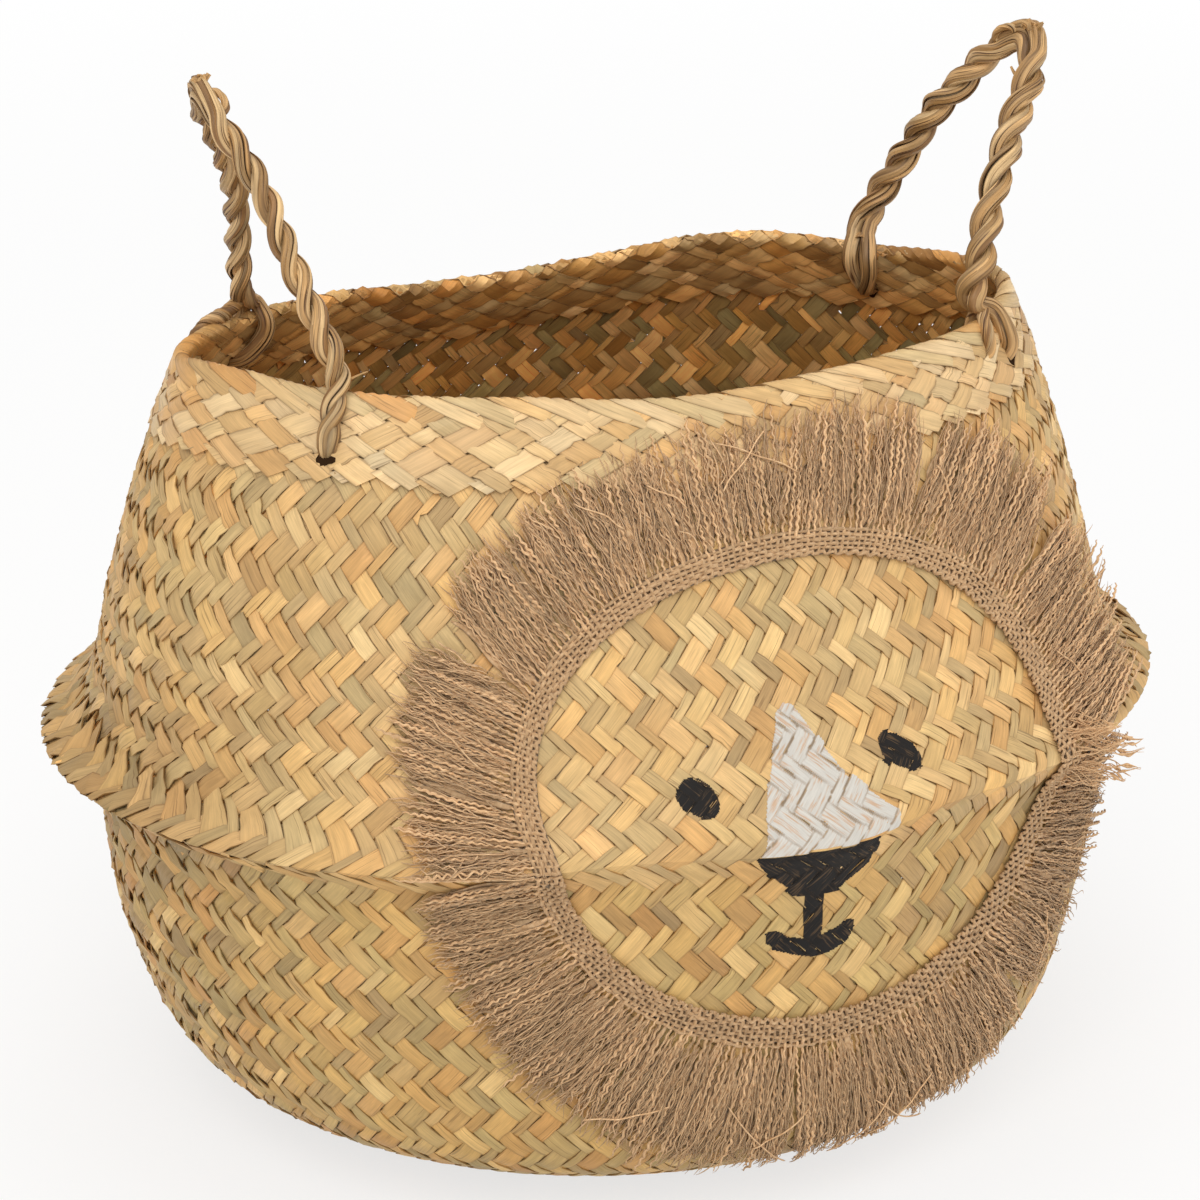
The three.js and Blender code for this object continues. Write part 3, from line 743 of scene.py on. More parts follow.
# The lower wall's palettes are a darker, more olive copy of the upper ones: painted shade of the lower wall,
# which turns down away from the light
LOWER_LEAF = (
    shades((216, 176, 110), (226, 192, 132), (206, 160, 98))
    + shades((212, 168, 104), (204, 172, 110), (198, 150, 92)),
    shades((190, 164, 110), (196, 162, 108), (178, 152, 104))
    + shades((208, 178, 118), (178, 148, 104), (187, 161, 108)),
)
HEM_LEAF = (
    shades((234, 194, 132), (240, 212, 162), (226, 180, 116))
    + shades((232, 200, 146), (218, 166, 102), (238, 204, 150)),
    shades((230, 198, 142), (222, 182, 122), (217, 190, 138))
    + shades((236, 206, 156), (224, 176, 112), (228, 190, 132)),
)
# Tints of the inside, on the wall's inner strand faces and on the hem where it turns inside: partly the
# leaf's own tones, partly painted shade of the basket's inside
INNER_LEAF_AND_SHADE = [(1.46, 1.26, 0.96), (1.22, 1.02, 0.72), (0.68, 0.76, 0.68)]
INNER_LEAF_AND_SHADE += [(1.18, 1.1, 1.0), (0.9, 0.75, 0.48)]
# The hem's inside tints are mostly darker: painted shade of the basket's inside, with the strips' own
# variety
INNER_HEM_AND_SHADE = [(0.98, 0.82, 0.58), (1.12, 0.98, 0.78), (0.58, 0.48, 0.34)]
INNER_HEM_AND_SHADE += [(0.82, 0.63, 0.38), (0.78, 0.74, 0.62)]
ROPE_TONES = shades((186, 149, 100), (206, 173, 126), (166, 128, 80), (196, 157, 106), (140, 103, 62))
ROPE_SHARES = [0.28, 0.19, 0.24, 0.18, 0.11]
# Thickness of a rope's leaf strip, as a share of the radius of its ply
LEAF_THIN = 0.15
# A rope bundle with more rows than this keeps every other row in its mesh
LONG_ROWS = 300

WALL_FORM = WallForm()


def weave_settings():
    return bpy.context.scene.basket_weave


def wall_lattice():
    return Lattice(weave_settings().strand_count, 0.13, np.random.default_rng(7), alternate=0.26)


def settle(piece, body, slot, *nodes):
    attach(piece, body)
    if nodes:
        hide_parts(*nodes)


def squash_with_rim(piece):
    """Gives the piece its own copy of its mesh; the upper half folding down into the belly, flattened
    towards the crease as the rim goes down, is not made here.
    """
    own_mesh(piece)


class BASKET_OT_walls(bpy.types.Operator):
    """Weaves the lower and upper wall, each from two families of slanting strands"""

    bl_idname = "basket.walls"
    bl_label = "Woven walls"

    def execute(self, context):
        settings = weave_settings()
        lattice = wall_lattice()
        finish = leaf_finish("seagrass_strands", settings.shade, 0.55, 0.52)
        rows = (settings.upper_row / MM, settings.lower_row / MM)
        weave = (TWILL, settings.swing / MM, settings.strand_thickness / MM, WALL_MIDDLE, WALL_GAP)
        upper_rings = np.arange(0, 2 * int((WALL_FORM.top - 3) / rows[0]) + 1)
        lower_rings = -np.arange(0, 2 * int((-WALL_FORM.bottom - 1.5) / rows[1]) + 1)
        # The upper half comes first: the lower half's first float carries its tone over the crease
        first = {}
        for half, rings, palettes, seed, starts in (
            ("upper", upper_rings, UPPER_LEAF, 24, (3, 7)),
            ("lower", lower_rings, LOWER_LEAF, 20, (5, 1)),
        ):
            for family, lean in ((0, "right"), (1, "left")):
                rng = np.random.default_rng(seed + family)
                points, along = strands(lattice, family, WALL_FORM, rows, rings, weave, rng, True)
                start = starts[family]
                tone = strand_tones(palettes, lattice.count, len(rings), rng, start, INNER_LEAF_AND_SHADE)
                if half == "upper":
                    first[family] = tone[:, :1].copy()
                else:
                    tone[:, : FLOAT_RINGS - start] = first[family]
                    tone = tone[:, :, ::-1]
                # Strands darken towards the crease's pinched ends: partly browner leaf there, partly painted
                # shade in the tight fold
                angle = np.arctan2(points[..., 1], points[..., 0])
                pinched = np.clip((np.abs(np.cos(angle)) - 0.8) / 0.2, 0, 1)
                near = np.exp(-(((points[..., 2] - CREASE) / 26) ** 2))
                tone = tone * (1 - 0.24 * pinched * near)[..., None]
                name = f"weave_{half}_{lean}"
                layers = {"tone": tone, "along": along, "edge": STRIP_LIPS}
                piece = add_tubes(name, points, finish, math.radians(40), **layers)
                settle(piece, "root", "seagrass_wall", f"{half}_wall")
                if half == "upper":
                    squash_with_rim(piece)
        return {"FINISHED"}


class BASKET_OT_base(bpy.types.Operator):
    """Weaves the square twill base inside the foot of the wall"""

    bl_idname = "basket.base"
    bl_label = "Woven base"

    # Sizes in millimetres; the strips end on the wall's foot, which curves up under them
    reach = (87.0, 85.0)
    pitch, thick, swing, middle = 5.6, 0.5, 0.36, 1.1

    def execute(self, context):
        rng = np.random.default_rng(3)
        finish = leaf_finish("seagrass_base", (0.86, 0.84, 0.8), 0.55, 0.6)
        for family, name in ((0, "base_strips_across"), (1, "base_strips_deep")):
            reach = self.reach if family == 0 else self.reach[::-1]
            count = 2 * int(reach[1] / self.pitch) + 1
            steps = 2 * int(2 * reach[0] / self.pitch) + 1
            points = np.array([self.strip(family, reach, i, count, steps) for i in range(count)])
            v = (np.arange(steps) * 2.8)[:, None]
            along = strip_along(points.shape[:3], STRIP_ACROSS * self.pitch, v, 40.29)
            tone = strand_tones(LOWER_LEAF, count, steps, rng)
            layers = {"tone": tone, "along": along, "edge": STRIP_LIPS}
            piece = add_tubes(name, points, finish, math.radians(40), **layers)
            clean(piece, merge=0.00001)
            settle(piece, "root", "seagrass_base", "base_disc")
        return {"FINISHED"}

    def strip(self, family, reach, i, count, steps):
        """One straight strip, cut where it meets the oval foot of the wall."""
        line = (i - (count - 1) / 2) * self.pitch
        half = reach[0] * math.sqrt(max(1 - (line / reach[1]) ** 2, 0.02))
        run = np.linspace(-1, 1, steps) * reach[0]
        cell = np.round(run / (self.pitch / 2)).astype(int)
        phase = cell / 2 + (i if family == 0 else 2 - i)
        height = (self.middle + wave(TWILL, phase) * self.swing)[:, None]
        side = line + np.array([-0.47, 0, 0.47]) * self.pitch
        x = np.repeat(np.clip(run, -half, half)[:, None], 3, axis=1)
        y = np.repeat(side[None], steps, axis=0)
        out = np.clip((np.hypot(x / reach[0], y / reach[1]) - 0.91) / 0.09, 0, 1)
        top = height + self.thick / 2 + np.array([0, 0.1, 0]) + BASE_LIP * out**1.5
        under = height - self.thick / 2 + BASE_LIP * out**1.5
        flat = (x, -y) if family == 0 else (y, x)
        return np.concatenate([np.stack([*flat, top], -1), np.stack([*flat, under], -1)[:, ::-1]], axis=1)


class BASKET_OT_hem(bpy.types.Operator):
    """Weaves the turned hem over the rim, with leaf folds wrapped round its edge"""

    bl_idname = "basket.hem"
    bl_label = "Turned hem"

    def execute(self, context):
        settings = context.scene.basket_hem
        holes = [hole_place(side, end) for side in (-1, 1) for end in (-1, 1)]
        form = HemForm(WALL_FORM, out=0.75, inner=-2.3, crown=1.0, holes=holes)
        finish = leaf_finish("hem_strips", (1.01, 1.01, 1.07), 0.5, 0.45, lip_shade=0.64, sharp=12.0)
        lattice = Lattice(settings.strip_count, 0.13, np.random.default_rng(11), alternate=0.16)
        row = settings.row / MM
        rings = np.arange(1, 4 * int(form.length / row) + 3)
        for family, lean in ((0, "right"), (1, "left")):
            rng = np.random.default_rng(60 + family)
            points, along = strands(lattice, family, form, (row, row), rings, HEM_WEAVE, rng, False, fine=2)
            start = (5, 1)[family]
            tone = strand_tones(HEM_LEAF, lattice.count, len(rings), rng, start)
            # Past the rim's edge the hem runs down inside the basket and takes the darker inside tints:
            # painted shade of the basket's inside, with the strips' own variety. On the back half this
            # painted shade starts earlier, on the outside just under the rim's top.
            inside_from = (HEM_HEIGHT + 0.3 * form.over) / row * 4
            back = np.clip((points[..., 1:2] - 20) / 30, 0, 1)
            deep = np.clip((rings[None, :, None, None] - inside_from + 7 * back) / 6, 0, 1)
            kinds = rng.integers(0, len(INNER_HEM_AND_SHADE), (lattice.count, len(rings) // FLOAT_RINGS + 2))
            inner = np.array(INNER_HEM_AND_SHADE)[kinds]
            inner = inner[:, (np.arange(len(rings)) + start) // FLOAT_RINGS][:, :, None]
            tone = tone * (0.95 - deep * (0.95 - inner))
            layers = {"tone": tone, "along": along, "edge": STRIP_LIPS}
            piece = add_tubes(f"hem_strips_{lean}", points, finish, math.radians(40), **layers)
            settle(piece, "rim", "seagrass_hem", "rim_hem")
        self.folds(settings.strip_count, form, finish)
        return {"FINISHED"}

    def folds(self, count, form, finish):
        """Leaf ends laid over the rim at a low slant, each lapping the next."""
        rng = np.random.default_rng(71)
        steps = 34
        start = (np.arange(count) + rng.uniform(-0.13, 0.13, count)) / count
        start = start[np.cos(TURN * start) > -0.35]
        count = len(start)
        share = np.linspace(0, 1, steps)[None]
        over = rng.uniform(4.4, 7.6, (count, 2, 1))
        run = HEM_HEIGHT - over[:, 0] + share * (over[:, 0] + form.over + over[:, 1])
        slope = rng.uniform(2.0, 2.5, (count, 1))
        turn = start[:, None] - WALL_FORM.rim_share((run - HEM_HEIGHT) * slope)
        wander = smooth_noise(rng, (count, steps), 3) * 0.5
        width = rng.uniform(2.3, 3.3, (count, 1)) * (1 + 0.12 * smooth_noise(rng, (count, steps), 4))
        side = np.linspace(-1, 1, 5)
        tilt = np.array([0.92, 0.4]) / math.hypot(0.92, 0.4)
        turns = turn[..., None] + WALL_FORM.rim_share(side * width[..., None] * tilt[1])
        runs = (run + wander)[..., None] + side * width[..., None] * tilt[0]
        bent = np.abs((runs - HEM_HEIGHT) / form.over - 0.5)
        lift = 0.62 + 0.2 * (1 - side**2) - 0.22 * side + 0 * turns + np.clip(1.2 - bent, 0, 1) * 0.1
        tuck = np.clip(np.minimum(share, 1 - share) * 9, 0, 1)[..., None]
        lift = lift * tuck - 0.35 * (1 - tuck)
        top = form.point(turns, runs, lift)
        under = form.point(turns, runs, lift - 0.38)
        points = np.concatenate([top, under[:, :, ::-1]], axis=2)
        corners = np.concatenate([side, side[::-1]])
        along = strip_along(points.shape[:3], corners * 3, (share * 34)[..., None], 23.7)
        palette = np.array(HEM_LEAF[0] + HEM_LEAF[1])
        palette = palette[rng.integers(0, len(palette), count)] * rng.uniform(0.86, 1.08, (count, 1))
        # The folds darken where they run inside the basket, and on the back half already over the rim's top:
        # painted shade, with each fold's own tone varied
        back = np.clip(-1.6 * np.cos(turns * TURN), 0, 1)
        inner = np.clip((runs - HEM_HEIGHT - 0.1 * form.over + 2.6 * back) / 2.2, 0, 1)
        inner = np.concatenate([inner, inner[:, :, ::-1]], axis=2)[..., None]
        shade = np.array((0.76, 0.64, 0.47)) * rng.uniform(0.7, 1.25, (count, 1, 1, 1))
        tone = palette[:, None, None] * (0.96 - inner * (0.96 - shade))
        layers = {"tone": tone, "along": along, "edge": np.abs(corners)}
        piece = add_tubes("hem_folds", points, finish, math.radians(50), **layers)
        clean(piece)
        settle(piece, "rim", "seagrass_hem", "rim_hem")


# Rope


def even_line(points, samples, soft=0):
    """A line resampled at equal steps, with its corners eased over soft steps."""
    points = np.asarray(points, float)
    for _ in range(2):
        run = np.concatenate([[0], np.cumsum(np.linalg.norm(np.diff(points, axis=0), axis=1))])
        even = np.linspace(0, run[-1], samples)
        points = np.stack([np.interp(even, run, points[:, k]) for k in range(3)], axis=-1)
        if soft:
            before = 2 * points[:1] - points[soft + 1 : 0 : -1]
            after = 2 * points[-1:] - points[-2 : -soft - 3 : -1]
            padded = np.concatenate([before, points, after])
            kernel = np.hanning(2 * soft + 3)
            points = np.stack([blur(padded[:, k], kernel, "valid") for k in range(3)], axis=-1)
    return points


def catmull(points, samples):
    """Smooth line through points, with evenly spaced samples."""
    line, _ = profile(points, samples * 3)
    return even_line(line, samples)


def carried_frame(line, first):
    """Side and up directions carried along a line without turning about it."""
    tangent = unit(np.gradient(line, axis=0))
    side = np.empty_like(line)
    now = np.array(first, float)
    for k, direction in enumerate(tangent):
        now = now - direction * (now @ direction)
        now /= np.linalg.norm(now)
        side[k] = now
    return side, np.cross(tangent, side)


def leaf_bundle(centre, side, up, radius, strips, twist, rng, squeeze=1.0, lap=1.3):
    """Leaf strips wrapped round one line: curved bands, broad and narrow, that lap over each other."""
    rows = len(centre)
    share = np.linspace(0, 1, rows)
    width = rng.uniform(0.6, 1.5, strips)
    width /= width.mean()
    spread = (np.cumsum(width) - width / 2) / strips * TURN

    def wander(every):
        return smooth_noise(rng, (strips, rows), rows // every)

    phase = spread[:, None] + twist * share[None] * TURN + wander(30) * 0.22
    half = math.pi / strips * lap * width[:, None] * (1 + 0.2 * wander(24))
    reach = radius * (0.93 + 0.1 * wander(22))
    across = np.linspace(-1, 1, 5)
    folds = smooth_noise(rng, (strips, 5, rows), rows // 10).transpose(0, 2, 1)
    tilt = wander(26)[..., None] * across
    outer = reach[..., None] + radius * (0.05 * (1 - across**2) + 0.07 * folds + 0.1 * tilt)
    far = np.concatenate([outer, (outer - LEAF_THIN * radius)[..., ::-1]], axis=-1)[..., None]
    angle = phase[..., None] + half[..., None] * across
    angle = np.concatenate([angle, angle[..., ::-1]], axis=-1)[..., None]
    offset = np.cos(angle) * side[:, None] + np.sin(angle) * up[:, None] * squeeze
    return centre[:, None] + far * offset


def add_rope(name, parts, finish, rng, part_shades=()):
    """One rope piece from bundles of leaf strips, each strip in its own tone; a factor for each part darkens
    it as painted shade.

    A long bundle is shaped at every row, and every other row of it is kept in the mesh.
    """
    layers, faces, base = [], [], 0
    for part, made in enumerate(parts):
        count, rows, sides, _ = made.shape
        step = 2 if rows > LONG_ROWS else 1
        own = np.array(ROPE_TONES)[rng.choice(len(ROPE_TONES), count, p=ROPE_SHARES)]
        drift = 1 + 0.24 * smooth_noise(rng, (count, rows), max(rows // 28, 2))
        part_shade = part_shades[part] if part_shades else 1.0
        tone = own[:, None, None] * drift[..., None, None] * part_shade * np.ones(made.shape)
        lip_shade = np.tile(np.abs(np.linspace(-1, 1, 5)), 2) if sides == 10 else np.zeros(sides)
        edge = np.broadcast_to(lip_shade[:, None], (count, rows, sides, 1))
        kept = [values[:, ::step] for values in (made, tone, tube_along(made), edge)]
        layers.append([values.reshape(-1, values.shape[-1]) for values in kept])
        faces += [[i + base for i in face] for face in grid_faces(kept[0].shape[1], sides, count)]
        base += kept[0][..., 0].size
    points, tone, along, edge = (np.concatenate(group) for group in zip(*layers))
    return add_mesh(name, points, faces, finish, math.radians(42), tone=tone, along=along, edge=edge[:, 0])


def handle_line():
    mirrored = [(-a, b) for a, b in reversed(LEG_LINE)]
    points = [(0, a, b) for a, b in [*LEG_LINE, (0, HANDLE_TOP), *mirrored]]
    return catmull(points, 420)


def place_handle(points, side):
    """From the handle's own plane to the basket: leaned outwards about its feet."""
    lean = side * math.radians(HANDLE_LEAN[side])
    cos, sin = math.cos(lean), math.sin(lean)
    x, y, z = points[..., 0], points[..., 1], points[..., 2]
    return np.stack([side * HANDLE_FOOT_X + x * cos + z * sin, y, HINGE_HEIGHT - x * sin + z * cos], axis=-1)


# How far each soft leg hangs sideways, as the picture shows it, by its height in the handle's plane
SWAY = {
    ("left", -1): [(-5, 0), (30, 0), (45, 1.4), (56, 1.1), (66, -1.2), (75, -1)],
    ("left", 1): [(-5, 4.2), (5, 5.9), (24, 7.6), (33, 8), (42, 6.6), (55, 4), (66, 1), (75, -1)],
    ("right", -1): [(-5, -2.4), (2, -4.3), (14, -6), (29, -5), (42, -3.3), (56, -1.3), (66, -0.5)]
    + [(75, -0.8)],
    ("right", 1): [(-9, 11), (-5, 10.6), (0, 10.2), (6, 9.9), (22, 7.2), (33, 4), (41, 1.6), (57, 0)]
    + [(67, -1.2), (75, -0.8)],
}
DROOP = {"left": 3.2, "right": 4.6}


def sway_leg(points, line, name):
    """Moves the legs of a handle sideways, along the camera's right, and lowers its bend."""
    for leg in (-1, 1):
        at, by = zip(*SWAY[name, leg])
        shift = np.interp(line[:, 2], at, by) * (line[:, 1] * leg > 0)
        points = points + blur(shift, np.hanning(31))[:, None] * CAMERA_RIGHT
    return points - np.clip((line[:, 2:] - 40) / 35, 0, 1) * [0, 0, DROOP[name]]


# How far a foot crosses the rim from the place that its leg's direction gives, as a share of a turn
FOOT_SHIFT = {(-1, 1): -0.014, (1, 1): -0.012}


def foot_turn(sign, front):
    """Share of a turn, from the front centre, at which a handle's foot crosses the rim."""
    wide, deep, _ = UPPER_OVALS[-1]
    aim = math.atan2(front * FOOT_HALF_SPAN / deep, sign * HANDLE_FOOT_X / wide)
    shares = np.linspace(0, 1, 2 * RING_STEPS + 1)
    off = np.abs((WALL_FORM.angle(shares, WALL_FORM.top) - aim + math.pi) % TURN - math.pi)
    return float(shares[int(np.argmin(off[:-1]))]) + FOOT_SHIFT.get((sign, front), 0)


def hole_place(sign, front):
    """Where a rope foot's hole lies: share of a turn, and drop below the rim."""
    aside, drop = (5.7, 15.8) if sign > 0 > front else (0, 18.8)
    return foot_turn(sign, front) + float(WALL_FORM.rim_share(aside)), drop


# Where a ply runs at a foot: sideways, drop below the rim, and how far off the wall
OVER = [(1.6, -3.2, 3.2), (0.9, -1, 4.4), (-0.8, 2, 4.6), (-1.5, 5, 3.6), (-0.6, 8.5, 3.0)]
OVER += [(0.8, 11.5, 2.6), (0.9, 14.5, 1.8), (0.5, 17, 0.2), (0.4, 17.4, -1.6)]
UNDER = [(1.6, -3.2, 2.6), (0.9, -1, 2.9), (-0.8, 2, 3.0), (-1.5, 5, 3.6), (-0.6, 8.5, 4.4)]
UNDER += [(0.8, 11.5, 3.6), (0.8, 14.5, 2.2), (0.5, 17, 0.2), (0.4, 17.4, -1.6)]
ASIDE = [(2.0, -3.2, 1.0), (3.4, -2.0, 2.2), (4.8, 0.5, 3.2), (5.6, 4, 3.1), (5.8, 8, 2.9)]
ASIDE += [(5.8, 11.5, 2.4), (5.7, 14, 0.2), (5.7, 14.6, -1.6)]
INSIDE = [(1.6, -3.2, 0.6), (2.4, -1.6, -1.4), (3.0, 1, -4.4), (3.1, 4.5, -5.6), (2.0, 9, -5.7)]
INSIDE += [(0.5, 13.5, -5.0), (-0.3, 16.6, -3.0), (-0.4, 18, -0.8)]
BEHIND = [(1.6, -3.2, 0), (2.4, -1.6, -2.4), (3.0, 1, -5.6), (3.1, 4.5, -6.9), (2.0, 9, -7.0)]
BEHIND += [(0.2, 13.5, -6.2), (-0.5, 16.6, -3.6), (-0.4, 18, -0.8)]
# Where a lashing runs, in the same terms
LASH_LONG = [(1, -7.6, -0.5), (3, -6.4, -0.4), (6, -4.7, -0.2), (10, -3, 0), (14, -2, 0.2)]
LASH_LONG += [(17.5, -1, 1), (20, 1.6, 2.6), (20.6, 5, 2.7), (20.8, 8, 0.6)]
LASH_IN = [(0, 16.6, -0.4), (0, 15.6, -3.2), (0.3, 11, -4.4), (0.3, 4, -4.6), (0, -0.4, -3.6)]
LASH_IN += [(0, -2.6, -1), (0, -3.6, 1.4), (0, -4.4, 3)]
LASH_OUT = [(0, 16.6, -1), (0, 15.4, 1.6), (0.4, 11, 2.7), (0.2, 4, 2.9), (0, -0.4, 2.5), (0, -2.8, 0.6)]
LASH_OUT += [(0, -3.6, -1.4), (0, -3.4, -3.4)]
LASH_ACROSS = [(4.4, 8.5, -3.4), (3.4, 3, -4.2), (2.2, -1.4, -3.6), (0.6, -3.4, -1.2), (-0.8, -2.6, 1.6)]
LASH_ACROSS += [(-2.4, 0.6, 2.9), (-3.8, 5, 3.0), (-4.8, 9.5, 1.9), (-5.2, 11, 0.4)]
# Each foot's two plies and its lashing, by handle and end (-1 in front, 1 behind)
FEET = {
    ("left", -1): (OVER, UNDER, LASH_IN),
    ("left", 1): (UNDER, INSIDE, LASH_LONG),
    ("right", -1): (ASIDE, INSIDE, LASH_ACROSS),
    ("right", 1): (INSIDE, BEHIND, LASH_OUT),
}


class BASKET_OT_handles(bpy.types.Operator):
    """Twists each rope handle from two plies of leaf strips, which part at the rim and meet in its holes"""

    bl_idname = "basket.handles"
    bl_label = "Rope handles"

    def execute(self, context):
        settings = context.scene.basket_rope
        finish = rope_finish("rope_strips", (1.05, 1.05, 1.05))
        line = handle_line()
        tangent = unit(np.gradient(line, axis=0))
        flat = np.array([1.0, 0, 0])
        side = np.stack([0 * line[:, 0], tangent[:, 2], -tangent[:, 1]], axis=-1)
        share = np.linspace(0, 1, len(line))
        run = float(np.linalg.norm(np.diff(line, axis=0), axis=1).sum())
        # The plies turn in the legs, and lie side by side over the bend
        leg = (1 - BEND_RUN / run) / 2
        turned = np.minimum(share / leg, 1) + np.maximum((share - 1 + leg) / leg, 0)
        for name, sign in (("left", -1), ("right", 1)):
            radius = (settings.left_ply if sign < 0 else settings.right_ply) / MM
            angle = math.pi / 2 + turned * (settings.turns_per_leg - 0.25 * sign) * TURN
            rim = [WALL_FORM.by_rim(foot_turn(sign, front), 0.0, -4.2, 0.0)[..., 2] for front in (-1, 1)]
            low = np.where(line[:, 1] > 0, rim[1], rim[0]) - HINGE_HEIGHT
            keep = (line[:, 2] > low) | (np.abs(line[:, 1]) < 30)
            unevenness = 0.35 * smooth_noise(np.random.default_rng(80 + sign), (1, len(line)), 9)[0]
            plies = []
            for phase, seed in ((0.0, 1), (math.pi, 2)):
                rng = np.random.default_rng(90 + sign + 5 * seed)
                reach = settings.apart * radius * (1 + 0.1 * smooth_noise(rng, (1, len(line)), 10)[0])
                uneven = (angle + phase + unevenness)[:, None]
                out = np.cos(uneven) * flat + np.sin(uneven) * side
                centre = place_handle(line + reach[:, None] * out, sign)
                plies.append(sway_leg(centre, line, name)[keep])
            lines = [self.whole(name, sign, ply, plies) for ply in (0, 1)]
            for ply, letter in ((0, "a"), (1, "b")):
                rng = np.random.default_rng(110 + sign + 7 * ply)
                across, up = carried_frame(lines[ply], flat)
                bundle = leaf_bundle(lines[ply], across, up, radius, 10, 1.6, rng, lap=1.25)
                # Strips darken near the other ply: painted shade in the crevice between the plies. The core
                # inside the strips is darkened to 0.4: painted shade seen through the gaps.
                apart = np.linalg.norm(bundle - lines[1 - ply][None, :, None], axis=-1) / radius
                crevice_shade = 1 - 0.5 * np.clip((1.5 - apart) / 0.45, 0, 1)[..., None]
                core = tubes(lines[ply][None], up[None], 0.62 * radius, 0.62 * radius, 12)
                piece = add_rope(f"rope_{name}_ply_{letter}", [bundle, core], finish, rng, (crevice_shade, 0.4))
                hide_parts(f"handle_{name}_ply_{letter}")
                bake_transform(piece)
        return {"FINISHED"}

    def whole(self, name, sign, ply, plies):
        """The whole way of one ply, from hole to hole, with its corner at the back foot eased."""
        own, other = plies[ply], plies[1 - ply]
        back = self.foot(name, sign, 1, ply, own[0], other[0])
        front = self.foot(name, sign, -1, ply, own[-1], other[-1])
        whole = even_line(np.concatenate([back[::-1], own, front]), 560, 5)
        near = np.exp(-((np.linalg.norm(whole - own[0], axis=1) / 5.5) ** 2))
        return whole + (even_line(whole, 560, 16) - whole) * near[:, None]

    def foot(self, name, sign, front, ply, end, other):
        """The way of one ply from the end of its twist to the hole, on its own side of the other ply."""
        turn = foot_turn(sign, front)
        route = FEET[name, front][ply]

        def gain(way):
            at = WALL_FORM.by_rim(turn, np.array(way * 3.0), np.array(-3.5), np.array(3.0))
            return np.linalg.norm(at - end) - np.linalg.norm(at - other)

        way = 1 if route is ASIDE else min((1, -1), key=gain)
        table = np.array(route)
        return catmull(WALL_FORM.by_rim(turn, way * table[:, 0], table[:, 1], table[:, 2]), 60)


class BASKET_OT_knots(bpy.types.Operator):
    """Ties the tucked loop, cut ends and a stray leaf end near the top of each handle"""

    bl_idname = "basket.knots"
    bl_label = "Handle knots"

    def execute(self, context):
        finish = rope_finish("knot_strips", (1.05, 1.04, 1.02))
        line = handle_line()
        up = np.array([0, 0, 1.0])
        for name, sign in (("left", -1), ("right", 1)):
            rng = np.random.default_rng(130 + sign)
            placed = sway_leg(place_handle(line, sign), line, name)
            top = len(placed) // 2
            if name == "left":
                low = top + int(np.argmin(np.abs(line[top:, 2] + 5)))
                parts = [
                    self.loop(placed, top + 15, CAMERA_RIGHT, rng),
                    self.ends(placed + 2.6 * up, top + 2, 1.5, rng),
                    self.stray(placed, low - 1, CAMERA_RIGHT, 0.34, 5.4, -0.1),
                ]
            else:
                parts = [
                    self.loop(placed, top - 17, up - 0.6 * CAMERA_RIGHT, rng),
                    self.ends(placed + 3.2 * up, top + 6, 2.0, rng),
                    self.stray(placed, top + 43, -CAMERA_RIGHT, 0.75, 2.6, 0.8),
                ]
            piece = add_rope(f"rope_{name}_knot", parts, finish, rng)
            settle(piece, f"handle_{name}", "seagrass_rope", f"handle_{name}_knot")
        return {"FINISHED"}

    def loop(self, line, near, way, rng):
        """A strand that stands off the rope in a small tucked loop."""
        axis = unit(line[near + 8] - line[near - 8])
        out = unit(way - axis * (axis @ way))
        sweep = np.linspace(-0.25, math.pi + 0.25, 50)[:, None]
        path = line[near] + axis * np.cos(sweep) * 3.6 + out * (2.2 + 2.2 * np.sin(sweep))
        across, above = carried_frame(path, np.cross(axis, out))
        return leaf_bundle(path, across, above, 1.15, 4, 0.5, rng)

    def ends(self, line, near, reach, rng):
        """Cut leaf ends that stand up from the bend."""
        count = 11
        start = line[near] + rng.uniform(-1, 1, (count, 3)) * [2.0, 2.4, 0.5]
        way = unit(rng.uniform(-1, 1, (count, 3)) * [0.7, 0.8, 0.25] + [0, 0, 1.0])
        share = np.linspace(0, 1, 8)[None, :, None]
        bend = rng.uniform(-1, 1, (count, 1, 3)) * share**2 * 0.9
        paths = start[:, None] + way[:, None] * share * reach * rng.uniform(0.8, 1.25, (count, 1, 1)) + bend
        up = unit(np.cross(way, [1.0, 0.3, 0]))[:, None] + 0 * paths
        return tubes(paths, up, 0.75, 0.2, 6, 0.3)

    def stray(self, line, near, way, wide, reach, lifted):
        """One leaf end that stands off the rope, and hooks."""
        axis = unit(line[near + 4] - line[near - 4])
        out = unit(way - axis * (axis @ way))
        share = np.linspace(0, 1, 9)[None, :, None]
        path = line[near] + out * 3.2 - axis * share * reach * 0.3 + out * share * reach
        path = path + [0, 0, lifted] * share**2 * reach
        return tubes(path, np.cross(axis, out) + 0 * path, wide * (1.1 - 0.6 * share[..., 0]), 0.16, 6)


